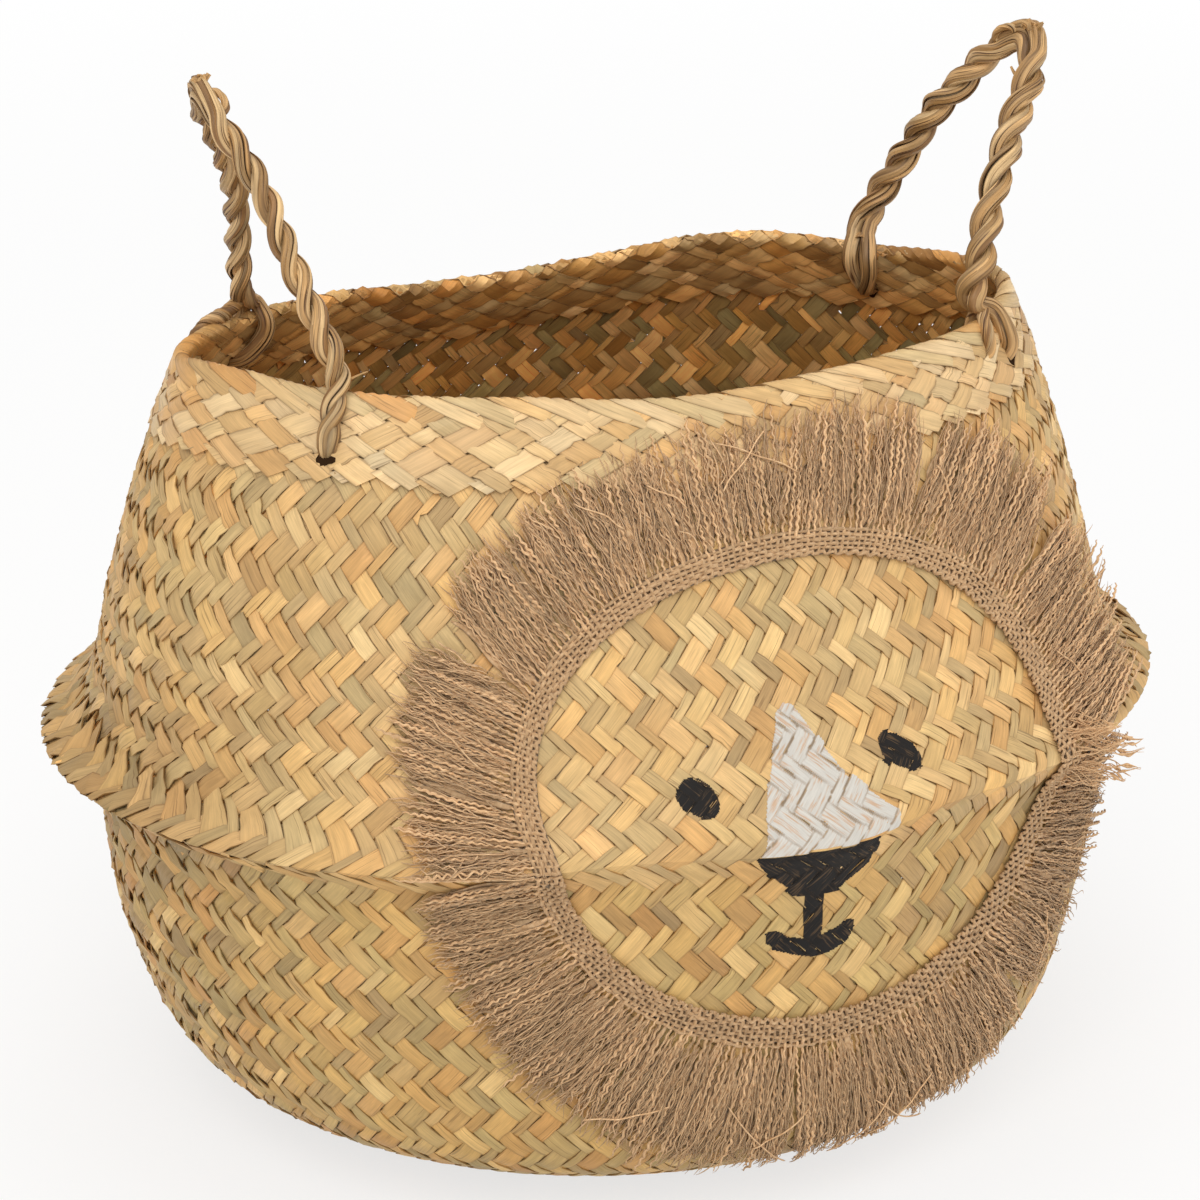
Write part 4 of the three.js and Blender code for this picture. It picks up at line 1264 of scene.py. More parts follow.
class BASKET_OT_eyes(bpy.types.Operator):
    """Lashes each rope foot over the rim and into its hole"""

    bl_idname = "basket.rope_eyes"
    bl_label = "Rope eyes"

    def execute(self, context):
        finish = rope_finish("rope_eye_strips", (1.02, 1, 0.98))
        dark = leaf_finish("rope_hole_shade", (0.07, 0.035, 0.016), 0.8, 0.9, 0.04)
        for (name, front), (_, _, route) in FEET.items():
            sign = -1 if name == "left" else 1
            end = "front" if front < 0 else "back"
            rng = np.random.default_rng(150 + 3 * sign + front)
            turn = foot_turn(sign, front)
            table = np.array(route, float)
            aside = -sign * front * table[:, 0]
            line = catmull(WALL_FORM.by_rim(turn, aside, table[:, 1], table[:, 2]), 90)
            before, after = (WALL_FORM.point(turn + step, WALL_FORM.top) for step in (-0.002, 0.002))
            across, up = carried_frame(line, after - before)
            thick, twist = (2.3, 2.6) if route is LASH_LONG else (1.9, 1.3)
            bundle = leaf_bundle(line, across, up, thick, 7, twist, rng, squeeze=0.75)
            piece = add_rope(f"rope_eye_{name}_{end}_strips", [bundle], finish, rng)
            settle(piece, "rim", "seagrass_rope", f"rope_eye_{name}_{end}")
            lift = -2.0 if route is LASH_OUT else 0.75
            hole = self.hole(*hole_place(sign, front), lift, f"rope_hole_{name}_{end}", dark)
            settle(hole, "rim", "seagrass_rope")
        return {"FINISHED"}

    def hole(self, turn, down, lift, name, finish):
        """The dark inside of the hole as painted shade: a shallow dark dish just under the parted strands.
        """
        rings = np.linspace(0, 1, 6)[:, None]
        angle = np.arange(20)[None] / 20 * TURN
        wobble = 1 + 0.16 * np.sin(3 * angle + turn * 9) + 0.1 * np.sin(5 * angle)
        side = rings * wobble * 2.3 * np.cos(angle)
        drop = down + rings * wobble * 3.1 * np.sin(angle)
        skin = WALL_FORM.by_rim(turn, side, drop, lift - 0.3 * (1 - rings**2) + 0 * side)
        back = WALL_FORM.by_rim(turn, side, drop, lift - 0.5 - 0.3 * (1 - rings**2) + 0 * side)
        points = np.concatenate([skin, back[::-1]])[None]
        return add_tubes(name, points, finish, math.pi, tone=0.5, along=0.0, edge=0.0)


# Jute mane


def mane_point(upper, turn, reach):
    """Across and up of a place in the trim: turn runs round one half, reach goes from tape to tips."""

    def sweep(oval):
        across, up, wide, high = oval
        dip = math.asin(up / high)
        start = -dip if upper else math.pi + dip
        span = math.pi + 2 * dip if upper else math.pi - 2 * dip
        angle = start + span * turn
        return across + wide * np.cos(angle), up + high * np.sin(angle)

    inner, outer = sweep(MANE_INNER), sweep(MANE_OUTER)
    across = inner[0] + (outer[0] - inner[0]) * reach
    up = inner[1] + (outer[1] - inner[1]) * reach
    return across, np.maximum(up, 0.5) if upper else np.minimum(up, -0.5)


def mane_place(upper, turn, reach, lift):
    across, up = mane_point(upper, turn, reach)
    return WALL_FORM.on_face(across, up, lift)


def mane_up(upper, turn, reach):
    return unit(mane_place(upper, turn, reach, 3.0) - mane_place(upper, turn, reach, 0.0))


def half_length(upper):
    share = np.linspace(0, 1, 200)
    line = mane_place(upper, share, np.zeros(200), 0.0)
    return float(np.linalg.norm(np.diff(line, axis=0), axis=1).sum())


# Partings of the fringe: where along each half, how far the yarns lean away, and how wide
PARTINGS = {
    True: [(0.8, 0.018, 0.03), (0.36, 0.016, 0.03), (0.2, 0.02, 0.032), (0.0, 0.02, 0.04)],
    False: [(0.0, 0.026, 0.05), (0.45, 0.012, 0.03), (0.72, 0.014, 0.03), (1.0, 0.03, 0.05)],
}


def mane_sway(upper, base, free):
    """Sideways drift of the fringe: neighbours lean together into tufts, and part between them."""
    shift = 0.006 * np.sin(TURN * 7 * base + 1.3 + upper) + 0.0034 * np.sin(TURN * 13 * base + 4.1)
    shift = shift + 0.0017 * np.sin(TURN * 23 * base + 0.6 + 2 * upper)
    for place, lean, width in PARTINGS[upper]:
        away = (base - place) / width
        side = np.where(base >= place, 1.0, -1.0)
        side = np.where(place >= 1.0, -1.0, side)
        shift = shift + side * lean * np.exp(-np.abs(away))
    return shift * free**1.15


def stand_off(upper, base, free):
    """Towards the pinched corner the fringe stands off the wall, as that bends away."""
    corner = np.exp(-(((base if upper else 1 - base) / 0.26) ** 2))
    return (6.4 if upper else 3.0) * corner * free**1.5


def fray(reach):
    """How free a yarn is of the tape, from 0 to 1, at a share of the mane's reach."""
    return np.clip((reach - TAPE_WIDTH / MANE_REACH) * 1.25, 0, 1)


def add_yarns(name, points, finish, rng, low, high, taped=1.0):
    """Yarns or fibres as one piece; taped darkens the share of each that is woven into the tape."""
    tone = rng.uniform(low, high, (points.shape[0], 1, 1, 1)) * np.ones(points.shape)
    share = np.linspace(0, 1, points.shape[1]) * 0.97 * MANE_REACH
    tone = tone * np.where(share < TAPE_WIDTH, taped, 1.0)[None, :, None, None]
    return add_tubes(name, points, finish, math.pi, tone=tone, along=tube_along(points))


class BASKET_OT_tape(bpy.types.Operator):
    """Weaves the jute tape along the mane's inner edge"""

    bl_idname = "basket.tape"
    bl_label = "Jute tape"

    def execute(self, context):
        settings = context.scene.basket_mane
        finish = jute_finish("jute_tape_yarns", settings.light, settings.dark)
        spacing = settings.yarn_spacing / MM
        for half, upper in (("upper", True), ("lower", False)):
            rng = np.random.default_rng(200 + upper)
            wefts = int(half_length(upper) / spacing)
            rows = wefts * 4 + 1
            share = np.linspace(0, 1, rows)
            yarns = 6
            turn = np.broadcast_to(share, (yarns, rows))
            lane = np.linspace(0.3, TAPE_WIDTH - 0.2, yarns)[:, None]
            wander = smooth_noise(rng, (yarns, rows), 70) * 0.34
            wander[0] += 0.35 * np.cos(share * wefts * math.pi)
            crimp = np.cos(share[None] * wefts * math.pi + np.arange(yarns)[:, None] * math.pi)
            lift = 1.15 + 0.4 * crimp + 0.12 * smooth_noise(rng, (yarns, rows), 80)
            reach = (lane + wander) / MANE_REACH
            paths, up = mane_place(upper, turn, reach, lift), mane_up(upper, turn, reach)
            thick = settings.yarn_radius / MM * (1.2 + 0.26 * smooth_noise(rng, (yarns, rows), 120))
            woven = tubes(paths, up, thick * 1.15, thick * 0.85, 6)
            # A dark brown sheet under the tape, so that its holes show brown: painted shade of the wall seen
            # through them
            middle = np.full((1, rows), TAPE_WIDTH / 2 / MANE_REACH)
            path = mane_place(upper, share[None], middle, 0.5)
            felt = tubes(path, mane_up(upper, share[None], middle), TAPE_WIDTH / 2 - 0.3, 0.12, 6)
            for kind, points, low, high in (("", woven, 0.62, 0.82), ("felt_", felt, 0.36, 0.37)):
                piece = add_yarns(f"jute_tape_{kind}{half}", points, finish, rng, low, high)
                settle(piece, "root", "jute_tape", f"mane_tape_{half}")
                if upper:
                    squash_with_rim(piece)
        return {"FINISHED"}


class BASKET_OT_fringe(bpy.types.Operator):
    """Lays the cut yarns of the fringe outwards from the tape, with loose fibres between them"""

    bl_idname = "basket.fringe"
    bl_label = "Jute fringe"

    # Pieces in each half of the fringe
    wisp_count, stray_count = 420, 7

    def execute(self, context):
        settings = context.scene.basket_mane
        light, dark = np.array(settings.light), np.array(settings.dark)
        yarn_finish = jute_finish("jute_fringe_yarns", light, dark)
        fibre_finish = jute_finish("jute_fringe_fibres", light * 0.96, dark * 0.92)
        spacing = settings.yarn_spacing / MM
        for upper in (True, False):
            rng = np.random.default_rng(230 + upper)
            wefts = int(half_length(upper) / spacing)
            low, high = (0.86, 1.13) if upper else (0.78, 1.05)
            yarns = self.yarns(upper, wefts, rng, settings)
            self.add(upper, "fringe_yarns", yarns, yarn_finish, rng, low, high, 0.76)
            wisps = self.wisps(upper, self.wisp_count, rng)
            self.add(upper, "fringe_wisps", wisps, fibre_finish, rng, 0.56, 0.86)
            fibres = self.fibres(upper, settings.fibre_count, rng)
            self.add(upper, "fringe_fibres", fibres, fibre_finish, rng, low - 0.2, high)
            strays = self.strays(upper, self.stray_count, rng)
            self.add(upper, "fringe_strays", strays, yarn_finish, rng, 0.92, 1.08)
            self.add(upper, "corner_tufts", self.tufts(upper, rng), yarn_finish, rng, 0.84, 1.0)
        return {"FINISHED"}

    def add(self, upper, kind, points, finish, rng, low, high, taped=1.0):
        half, sectors = ("upper", 5) if upper else ("lower", 4)
        piece = add_yarns(f"jute_{kind}_{half}", points, finish, rng, low, high, taped)
        settle(piece, "root", "jute_fringe", *[f"mane_fringe_{half}_{k + 1}" for k in range(sectors)])
        if upper:
            squash_with_rim(piece)

    def yarns(self, upper, wefts, rng, settings):
        """Cut wefts of the tape, still crimped as they were woven."""
        rows = 76
        share = np.linspace(0, 1, rows)[None]
        base = (np.arange(wefts)[:, None] + 0.5) / wefts
        tip = (0.98 if upper else 0.9) + rng.uniform(-0.14, 0.08, (wefts, 1))
        tip = tip + 0.05 * np.sin(TURN * 9 * base + 2)
        start = np.full((wefts, 1), -0.5 / MANE_REACH)
        reach = start + (tip - start) * share
        free = fray(reach)
        lane = reach * MANE_REACH
        wave_at = lane / rng.uniform(2.5, 3.8, (wefts, 1)) * TURN + rng.uniform(0, TURN, (wefts, 1))
        wave_at = wave_at + smooth_noise(rng, (wefts, rows), 9) * 1.6
        ripple = np.sin(wave_at) * 0.2 * (0.5 + 0.5 * np.clip(free * 9, 0, 1)) / half_length(upper)
        sway = mane_sway(upper, base, free) + rng.normal(0, 0.0036, (wefts, 1)) * free
        sway = sway + smooth_noise(rng, (wefts, rows), 4) * 0.0022 * free
        turn = np.clip(base + sway + ripple, 0.001, 0.999)
        in_tape = np.clip((TAPE_WIDTH + 1 - lane) / 1.5, 0, 1)
        crimp = np.cos(lane / ((TAPE_WIDTH - 0.5) / 5) * math.pi + (np.arange(wefts)[:, None] + 1) * math.pi)
        loose = 1.0 + 1.3 * free + smooth_noise(rng, (wefts, rows), 6) * 0.6 + 0.3 * np.cos(wave_at)
        loose = loose + stand_off(upper, base, free)
        lift = (1.15 + 0.4 * crimp) * in_tape + (1 - in_tape) * loose
        paths = mane_place(upper, turn, reach, lift)
        up = mane_up(upper, turn, reach)
        thick = settings.yarn_radius / MM * (1.0 + 0.24 * smooth_noise(rng, (wefts, rows), 16))
        thick = thick * (1 + 0.32 * in_tape) * np.clip((1 - share) * 7 + 0.3, 0, 1)
        return tubes(paths, up, thick, thick, 5)

    def lay(self, upper, count, rows, low, high, lift, wander, rng):
        """Paths of loose fibres that lean with the yarns round them."""
        share = np.linspace(0, 1, rows)[None]
        reach = low + (high - low) * share
        base = rng.uniform(0, 1, (count, 1))
        free = fray(reach)
        sway = mane_sway(upper, base, free) + rng.normal(0, wander, (count, 1)) * share
        sway = sway + smooth_noise(rng, (count, rows), 4) * wander * 0.9
        turn = np.clip(base + sway, 0.001, 0.999)
        rise = np.maximum(lift + smooth_noise(rng, (count, rows), 4) * 0.6, 0.15)
        rise = rise + stand_off(upper, base, free) * rng.uniform(0.3, 1.1, (count, 1))
        return mane_place(upper, turn, reach, rise), mane_up(upper, turn, reach), share

    def fibres(self, upper, count, rng):
        low = rng.uniform(0.16, 0.78, (count, 1))
        high = (0.98 if upper else 0.9) + rng.uniform(-0.14, 0.09, (count, 1))
        high = np.minimum(low + rng.uniform(0.15, 0.5, (count, 1)), high)
        lift = rng.uniform(0.3, 2.7, (count, 1))
        paths, up, share = self.lay(upper, count, 10, low, high, lift, 0.0034, rng)
        thick = rng.uniform(0.08, 0.2, (count, 1)) * np.clip((1 - share) * 4 + 0.3, 0, 1)
        return tubes(paths, up, thick * 1.5, thick, 3)

    def wisps(self, upper, count, rng):
        """Flat matted wisps that lie close to the wall, below the yarns."""
        low = rng.uniform(0.1, 0.5, (count, 1))
        high = np.minimum(low + rng.uniform(0.3, 0.55, (count, 1)), 0.9 if upper else 0.83)
        lift = rng.uniform(0.35, 0.9, (count, 1))
        paths, up, share = self.lay(upper, count, 12, low, high, lift, 0.003, rng)
        taper = np.clip(np.minimum(share * 5, (1 - share) * 3) + 0.12, 0, 1)
        wide = rng.uniform(0.5, 1.15, (count, 1)) * (1 + 0.3 * smooth_noise(rng, (count, 12), 5)) * taper
        return tubes(paths, up, wide, 0.12, 6)

    def strays(self, upper, count, rng):
        """Long loose yarns that lie across the others."""
        rows = 40
        share = np.linspace(0, 1, rows)[None]
        low = rng.uniform(0.2, 0.6, (count, 1))
        reach = low + rng.uniform(0.15, 0.4, (count, 1)) * share
        lean = rng.choice([-1, 1], (count, 1)) * rng.uniform(0.02, 0.075, (count, 1))
        turn = rng.uniform(0.08, 0.92, (count, 1)) + lean * share
        turn = np.clip(turn + smooth_noise(rng, (count, rows), 5) * 0.002, 0.001, 0.999)
        lift = 2.6 + 0.9 * np.sin(share * math.pi) + smooth_noise(rng, (count, rows), 8) * 0.3
        paths = mane_place(upper, turn, np.minimum(reach, 0.97), lift)
        thick = 0.24 * np.clip(np.minimum(share, 1 - share) * 12 + 0.4, 0, 1)
        return tubes(paths, mane_up(upper, turn, reach), thick, thick, 5)

    def tufts(self, upper, rng):
        """The end of the trim stands out past the pinched corner, as a small fan with lumpy tips."""
        rise = np.array([0, 0, 1.0])
        root = mane_place(True, 0.0, 0.2, 1.6)
        fans = [(0.62, 13), (0.42, 17), (0.16, 13), (0.02, 18)]
        if not upper:
            fans = [(-0.24, 18), (-0.42, 17), (-0.7, 13), (-1.1, 12)]
        each, rows = 8, 34
        share = np.linspace(0, 1, rows)[None, :, None]
        paths, thick = [], []
        for angle, reach in fans:
            base = rng.uniform(0.002, 0.04, (each, 1))
            start = mane_place(upper, base if upper else 1 - base, rng.uniform(0.05, 0.3, (each, 1)), 1.7)
            end = root + (CAMERA_RIGHT * math.cos(angle) + rise * math.sin(angle)) * reach
            hook = np.sin(share * 2.6) * rng.uniform(-1, 1, (1, 1, 3)) * 3.4
            hook = hook + smooth_noise(rng, (1, rows), 5)[..., None] * share
            short = np.where(rng.random((each, 1, 1)) < 0.55, rng.uniform(0.5, 0.85, (each, 1, 1)), 1.0)
            along = share * short
            turn = rng.uniform(0, TURN, (each, 1, 1)) + along * 9
            spread = 0.2 + 1.3 * (1 - along) ** 2 * along
            path = start * (1 - along) + (end + hook) * along
            path = path + (np.cos(turn) * rise + np.sin(turn) * np.array([0.42, 0.9, 0])) * spread
            path = path + smooth_noise(rng, (each, rows), 9)[..., None] * share * [0.3, 0.3, 0.5]
            paths.append(path)
            lump = 0.34 * np.exp(-(((along[..., 0] - rng.uniform(0.72, 0.95)) / 0.05) ** 2))
            thick.append((0.15 + lump) * np.clip((1 - share[..., 0]) * 7 + 0.3, 0, 1) * np.ones((each, 1)))
        paths, thick = np.concatenate(paths), np.concatenate(thick)
        return tubes(paths, np.array([0.42, -0.9, 0.1]) + 0 * paths, thick, thick, 5)


# Painted face


def inside(x, y, corners):
    """Whether places lie in a shape given by its corners."""
    hit = np.zeros(x.shape, bool)
    for (x0, y0), (x1, y1) in zip(corners, corners[1:] + corners[:1]):
        if y0 == y1:
            continue
        between = (y0 > y) != (y1 > y)
        hit ^= between & (x < (x1 - x0) * (y - y0) / (y1 - y0) + x0)
    return hit


def spot(x, y, centre, wide, high, lean):
    across = x - centre[0]
    return (across / wide) ** 2 + ((y - centre[1] + across * lean) / high) ** 2 < 1


MUZZLE = [(-19.3, 0), (-17.6, 4), (-11.2, 23), (-3.2, 41.4), (-0.8, 43.6), (1.8, 43.4), (3.6, 41)]
MUZZLE += [(11.4, 23), (22.4, 8.4), (25.4, 5.4), (24.6, 0)]
NOSE = [(-21.6, 1.2), (17.2, 2.6), (18, -6), (16.4, -11), (7.3, -17.9), (-5.2, -17.9), (-13.4, -11.4)]
NOSE += [(-18.5, -5)]
STEM = [(-3.4, -16), (2.8, -16), (2.7, -29.5), (-3.2, -29.5)]
SMILE = [(-15.4, -27.9), (-12.3, -27.2), (-7, -30), (-3, -31), (-3, -28), (2.6, -28), (3, -31)]
SMILE += [(7, -29.9), (11, -27.9), (13.4, -28.4), (13.8, -31), (12.4, -33.8), (10.2, -36.1), (5, -37.6)]
SMILE += [(0.7, -37.9), (-4, -36.9), (-7.5, -35.2), (-12.4, -33.4), (-15, -31.4)]


class WeaveSkin:
    """The strands of one half of the wall, felt for from outside."""

    def __init__(self, half):
        points, faces, self.family, self.strand = [], [], [], []
        self.lattice = wall_lattice()
        base = 0
        for family, lean in ((0, "right"), (1, "left")):
            mesh = bpy.data.objects[f"weave_{half}_{lean}"].data
            place = np.zeros(len(mesh.vertices) * 3, np.float32)
            mesh.vertices.foreach_get("co", place)
            place = place.reshape(-1, 3)
            near = (place[:, 1] < -0.09) & (np.abs(place[:, 0]) < 0.062)
            each = len(mesh.vertices) // self.lattice.count
            for polygon in mesh.polygons:
                corners = polygon.vertices
                if near[corners[0]] and len(corners) == 4:
                    faces.append([c + base for c in corners])
                    self.family.append(family)
                    self.strand.append(corners[0] // each)
            points.append(place)
            base += len(place)
        self.tree = BVHTree.FromPolygons(np.concatenate(points).tolist(), faces)

    def feel(self, x, y):
        """Depth of the strands below a line 3 mm off the wall, and the strand that is touched there."""
        start = WALL_FORM.on_face(x, y, 3.0)
        way = unit(WALL_FORM.on_face(x, y, -2.6) - start)
        depth = np.full(x.shape, np.nan)
        deepest = 4.2
        family = np.zeros(x.shape, int)
        strand = np.zeros(x.shape, int)
        for k in np.ndindex(x.shape):
            _, _, face, distance = self.tree.ray_cast((start[k] * MM).tolist(), way[k].tolist(), 0.0056)
            if face is not None and distance / MM < deepest:
                depth[k], family[k], strand[k] = distance / MM, self.family[face], self.strand[face]
        return start, way, depth, family, strand


class BASKET_OT_face(bpy.types.Operator):
    """Paints the eyes, the muzzle, the nose and the mouth onto the weave"""

    bl_idname = "basket.face"
    bl_label = "Painted face"

    def execute(self, context):
        black = paint_finish("black_paint", *shades((20, 15, 12), (84, 64, 42), (11, 8, 6)))
        white = paint_finish("white_paint", *shades((206, 201, 192), (208, 176, 148), (150, 124, 94)))
        upper, lower = WeaveSkin("upper"), WeaveSkin("lower")
        for name, box, shape, skin in (
            ("eye_left", (-41, -24, 8, 30), self.left_eye, upper),
            ("eye_right", (22, 41, 8, 34), self.right_eye, upper),
            ("muzzle", (-23, 27, 0.02, 46), self.muzzle, upper),
            ("nose", (-24, 21, -30, -0.02), self.nose, lower),
            ("mouth", (-18, 17, -40, -26), self.mouth, lower),
        ):
            finish, slot = (white, "paint_white") if name == "muzzle" else (black, "paint_black")
            piece = self.coat("painted_" + name, finish, box, shape, skin)
            settle(piece, "root", slot, "paint_" + name)
            if skin is upper:
                squash_with_rim(piece)
        return {"FINISHED"}

    def left_eye(self, x, y):
        return spot(x, y, (-32.5, 19.4), 5.7, 6.9, 0.15)

    def right_eye(self, x, y):
        return spot(x, y, (30.9, 21.4), 6.6, 6.6, 0.5)

    def muzzle(self, x, y):
        return inside(x, y, MUZZLE) & (y > 0)

    def nose(self, x, y):
        return (inside(x, y, NOSE) | (inside(x, y, STEM) & (y > -28.4))) & (y < 0)

    def mouth(self, x, y):
        return inside(x, y, SMILE)

    def coat(self, name, finish, box, shape, skin):
        """A thin skin of paint that follows every strand below it, cut ragged strand by strand."""
        step, above, below = 0.4, 0.13, 0.1
        xs = np.arange(box[0], box[1] + step, step)
        ys = np.linspace(box[2], box[3], max(int((box[3] - box[2]) / step), 2) + 1)
        x, y = np.meshgrid(xs, ys, indexing="ij")
        start, way, depth, family, strand = skin.feel(x, y)
        jag = np.sin(strand * 12.9898 + family * 4.1) * 43758.5453
        jag = (jag - np.floor(jag) - 0.5) * 1.6
        lean = np.where(family == 0, 0.7, -0.7)
        keep = shape(x + jag * lean, y + jag * 0.7)
        for _ in range(4):
            around = np.stack([np.roll(depth, by, axis) for by in (-1, 1) for axis in (0, 1)])
            known = np.where(np.isnan(around), -1, around).max(axis=0)
            depth = np.where(np.isnan(depth) & (known > 0), known, depth)
        keep &= ~np.isnan(depth)
        depth = np.where(np.isnan(depth), 9.0, depth)
        lattice = skin.lattice
        weave = weave_settings()
        row = y / np.where(y >= 0, weave.upper_row / MM, weave.lower_row / MM)
        turn = x / WALL_FORM.perimeter(y) * lattice.count
        own = np.where(family == 0, turn - row / 2, turn + row / 2)
        run = np.where(family == 0, turn + row / 2, turn - row / 2)
        along = np.stack([own * 5.0 + strand * 18.7, run * 5.1 + strand * 36.2], axis=-1)
        cell = keep[:-1, :-1] & keep[1:, :-1] & keep[:-1, 1:] & keep[1:, 1:]
        corners = np.stack([depth[:-1, :-1], depth[1:, :-1], depth[:-1, 1:], depth[1:, 1:]])
        jump = corners.max(axis=0) - corners.min(axis=0)
        # Seams where the coat bridges a step between strands: partly unpainted leaf, partly painted shade in
        # the gap
        seam = np.zeros_like(depth)
        seam[:-1, :-1] = np.clip((jump - 0.16) / 0.3, 0, 1)
        nearest = np.min([np.roll(depth, by, axis) for by in (-1, 0, 1) for axis in (0, 1)], axis=0)
        top = start + way * (0.5 * depth + 0.5 * nearest - above)[..., None]
        under = start + way * (depth + below)[..., None]
        rows, cols = x.shape
        index = np.arange(rows * cols).reshape(rows, cols)
        layer = rows * cols
        i, j = np.nonzero(cell)
        a, b, c, d = index[i, j], index[i + 1, j], index[i + 1, j + 1], index[i, j + 1]
        faces = [np.stack([a, b, c, d], 1), np.stack([d, c, b, a], 1) + layer]
        padded = np.pad(cell, 1)
        for di, dj, p, q in ((0, -1, a, b), (1, 0, b, c), (0, 1, c, d), (-1, 0, d, a)):
            open_side = ~padded[i + 1 + di, j + 1 + dj]
            p, q = p[open_side], q[open_side]
            faces.append(np.stack([q, p, p + layer, q + layer], 1))
        faces = np.concatenate(faces)
        used, compact = np.unique(faces, return_inverse=True)
        points = np.concatenate([top.reshape(-1, 3), under.reshape(-1, 3)])[used]
        along = np.concatenate([along.reshape(-1, 2)] * 2)[used]
        seam = np.concatenate([seam.ravel()] * 2)[used]
        faces = compact.reshape(faces.shape).tolist()
        return add_mesh(name, points, faces, finish, math.radians(60), along=along, edge=seam)


# Studio


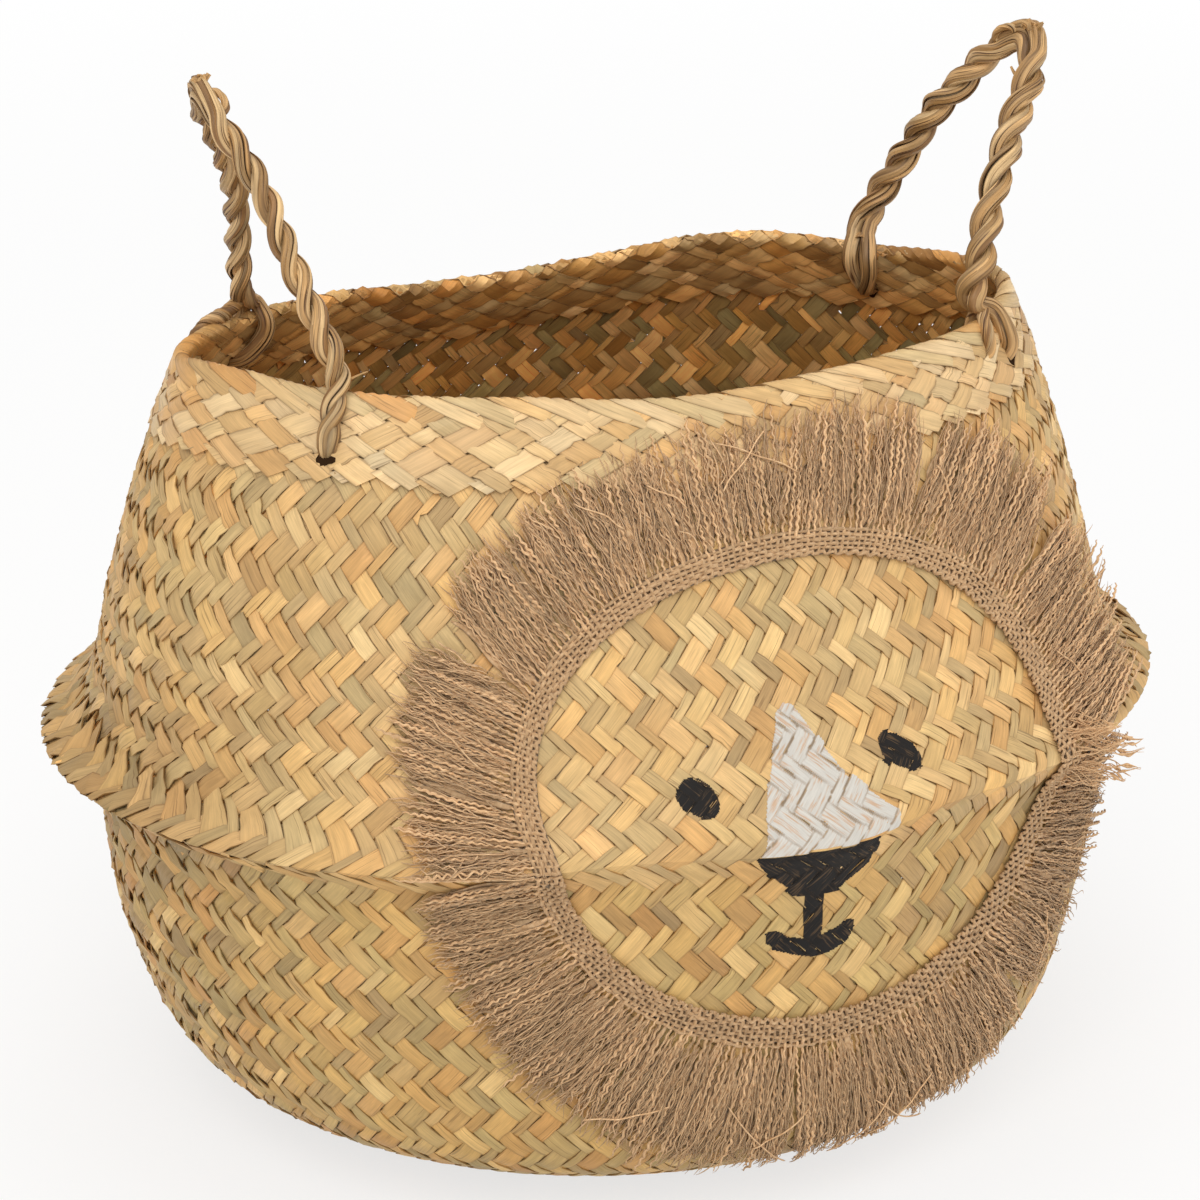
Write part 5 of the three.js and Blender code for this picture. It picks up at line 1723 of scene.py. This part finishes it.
class BASKET_OT_studio(bpy.types.Operator):
    """Sets the floor, the soft light and the camera"""

    bl_idname = "basket.studio"
    bl_label = "Studio"

    def execute(self, context):
        scene = context.scene
        settings = scene.basket_studio
        scene.view_settings.view_transform = "Standard"
        bpy.ops.object.select_all(action="DESELECT")
        bpy.ops.mesh.primitive_plane_add(size=24, location=(0, 0, -0.0005))
        floor = bpy.context.active_object
        floor.name = "studio_floor"
        floor.data.materials.append(self.floor_finish())
        self.light("key_lamp", (-0.9, -1.5, 1.9), 1.6, 24.9)
        self.light("fill_lamp", (1.6, -1.1, 1.2), 1.8, 7.0)
        self.light("top_lamp", (0.1, 0.5, 2.2), 1.6, 10.0)
        self.world(settings.world_light)
        camera_data = bpy.data.cameras.new("studio_camera")
        camera = bpy.data.objects.new("studio_camera", camera_data)
        scene.collection.objects.link(camera)
        camera_data.sensor_width = 36
        camera_data.lens = settings.lens
        camera_data.clip_end = 20
        turn, rise = CAMERA_TURN, CAMERA_RISE
        aim = Vector((-AIM_LEFT * math.cos(turn), -AIM_LEFT * math.sin(turn), AIM_HEIGHT))
        back = Vector((math.sin(turn) * math.cos(rise), -math.cos(turn) * math.cos(rise), math.sin(rise)))
        camera.location = aim + back * CAMERA_AWAY
        camera.rotation_mode = "QUATERNION"
        camera.rotation_quaternion = (-back).to_track_quat("-Z", "Y")
        scene.camera = camera
        return {"FINISHED"}

    def floor_finish(self):
        tree = Tree(bpy.data.materials.new("floor_white"))
        tree.nodes.remove(tree.shader)
        matt = tree.feed(tree.add("BsdfDiffuse"), {"Color": (0.9, 0.9, 0.9, 1)})
        glow = tree.feed(tree.add("Emission"), {"Color": (1, 1, 1, 1)})
        rays = tree.add("LightPath").outputs
        seen = tree.math("MAXIMUM", rays["Is Camera Ray"], rays["Is Glossy Ray"])
        seen = tree.math("MAXIMUM", seen, rays["Is Transmission Ray"])
        place = tree.add("TexCoord").outputs["Object"]
        away = tree.feed(tree.add("VectorMath", operation="LENGTH"), {0: place}).outputs["Value"]
        white = tree.vary(away, 0.72, 1.0, 0.4, 1.6)
        both = tree.add("MixShader")
        glowing = tree.math("MULTIPLY", seen, white)
        tree.feed(both, {0: glowing, 1: matt.outputs[0], 2: glow.outputs[0]})
        tree.feed(tree.nodes["Material Output"], {0: both.outputs[0]})
        return tree.owner

    def light(self, name, place, size, power):
        data = bpy.data.lights.new(name, "AREA")
        data.shape = "SQUARE"
        data.size = size
        data.energy = power
        lamp = bpy.data.objects.new(name, data)
        bpy.context.scene.collection.objects.link(lamp)
        lamp.location = place
        aim = Vector((0, 0, 0.12)) - Vector(place)
        lamp.rotation_mode = "QUATERNION"
        lamp.rotation_quaternion = aim.to_track_quat("-Z", "Y")

    def world(self, strength):
        bpy.context.scene.world = bpy.data.worlds.new("studio_world")
        tree = Tree(bpy.context.scene.world)
        rays = tree.add("LightPath").outputs
        soft = tree.feed(tree.nodes["Background"], {"Color": (1.0, 0.985, 0.96, 1), "Strength": strength})
        plain = tree.feed(tree.add("Background"), {"Color": (1, 1, 1, 1), "Strength": 1.0})
        seen = tree.math("MAXIMUM", rays["Is Camera Ray"], rays["Is Transmission Ray"])
        mix = tree.feed(tree.add("MixShader"), {0: seen, 1: soft.outputs[0], 2: plain.outputs[0]})
        tree.feed(tree.nodes["World Output"], {0: mix.outputs[0]})


OPERATORS = (
    BASKET_OT_walls,
    BASKET_OT_base,
    BASKET_OT_hem,
    BASKET_OT_eyes,
    BASKET_OT_handles,
    BASKET_OT_knots,
    BASKET_OT_tape,
    BASKET_OT_fringe,
    BASKET_OT_face,
    BASKET_OT_studio,
)
GROUPS = (
    ("basket_weave", BasketWeave),
    ("basket_hem", BasketHem),
    ("basket_rope", BasketRope),
    ("basket_mane", BasketMane),
    ("basket_studio", BasketStudio),
)


class BASKET_PT_panel(bpy.types.Panel):
    """Lists the basket's steps and sizes"""

    bl_label = "Woven basket"
    bl_idname = "BASKET_PT_panel"
    bl_space_type = "VIEW_3D"
    bl_region_type = "UI"
    bl_category = "Basket"

    def draw(self, context):
        for operator in OPERATORS:
            self.layout.operator(operator.bl_idname)
        for name, group in GROUPS:
            box = self.layout.box()
            box.label(text=name.replace("basket_", "").capitalize())
            for key in group.__annotations__:
                box.prop(getattr(context.scene, name), key)


def register():
    for _, group in GROUPS:
        bpy.utils.register_class(group)
    for name, group in GROUPS:
        setattr(bpy.types.Scene, name, PointerProperty(type=group))
    for operator in OPERATORS:
        bpy.utils.register_class(operator)
    bpy.utils.register_class(BASKET_PT_panel)


def unregister():
    bpy.utils.unregister_class(BASKET_PT_panel)
    for operator in reversed(OPERATORS):
        bpy.utils.unregister_class(operator)
    for name, group in reversed(GROUPS):
        delattr(bpy.types.Scene, name)
        bpy.utils.unregister_class(group)


def main():
    register()
    bpy.ops.basket.studio()
    bpy.ops.basket.walls()
    bpy.ops.basket.base()
    bpy.ops.basket.hem()
    bpy.ops.basket.rope_eyes()
    bpy.ops.basket.handles()
    bpy.ops.basket.knots()
    bpy.ops.basket.tape()
    bpy.ops.basket.fringe()
    bpy.ops.basket.face()


if __name__ == "__main__":
    main()
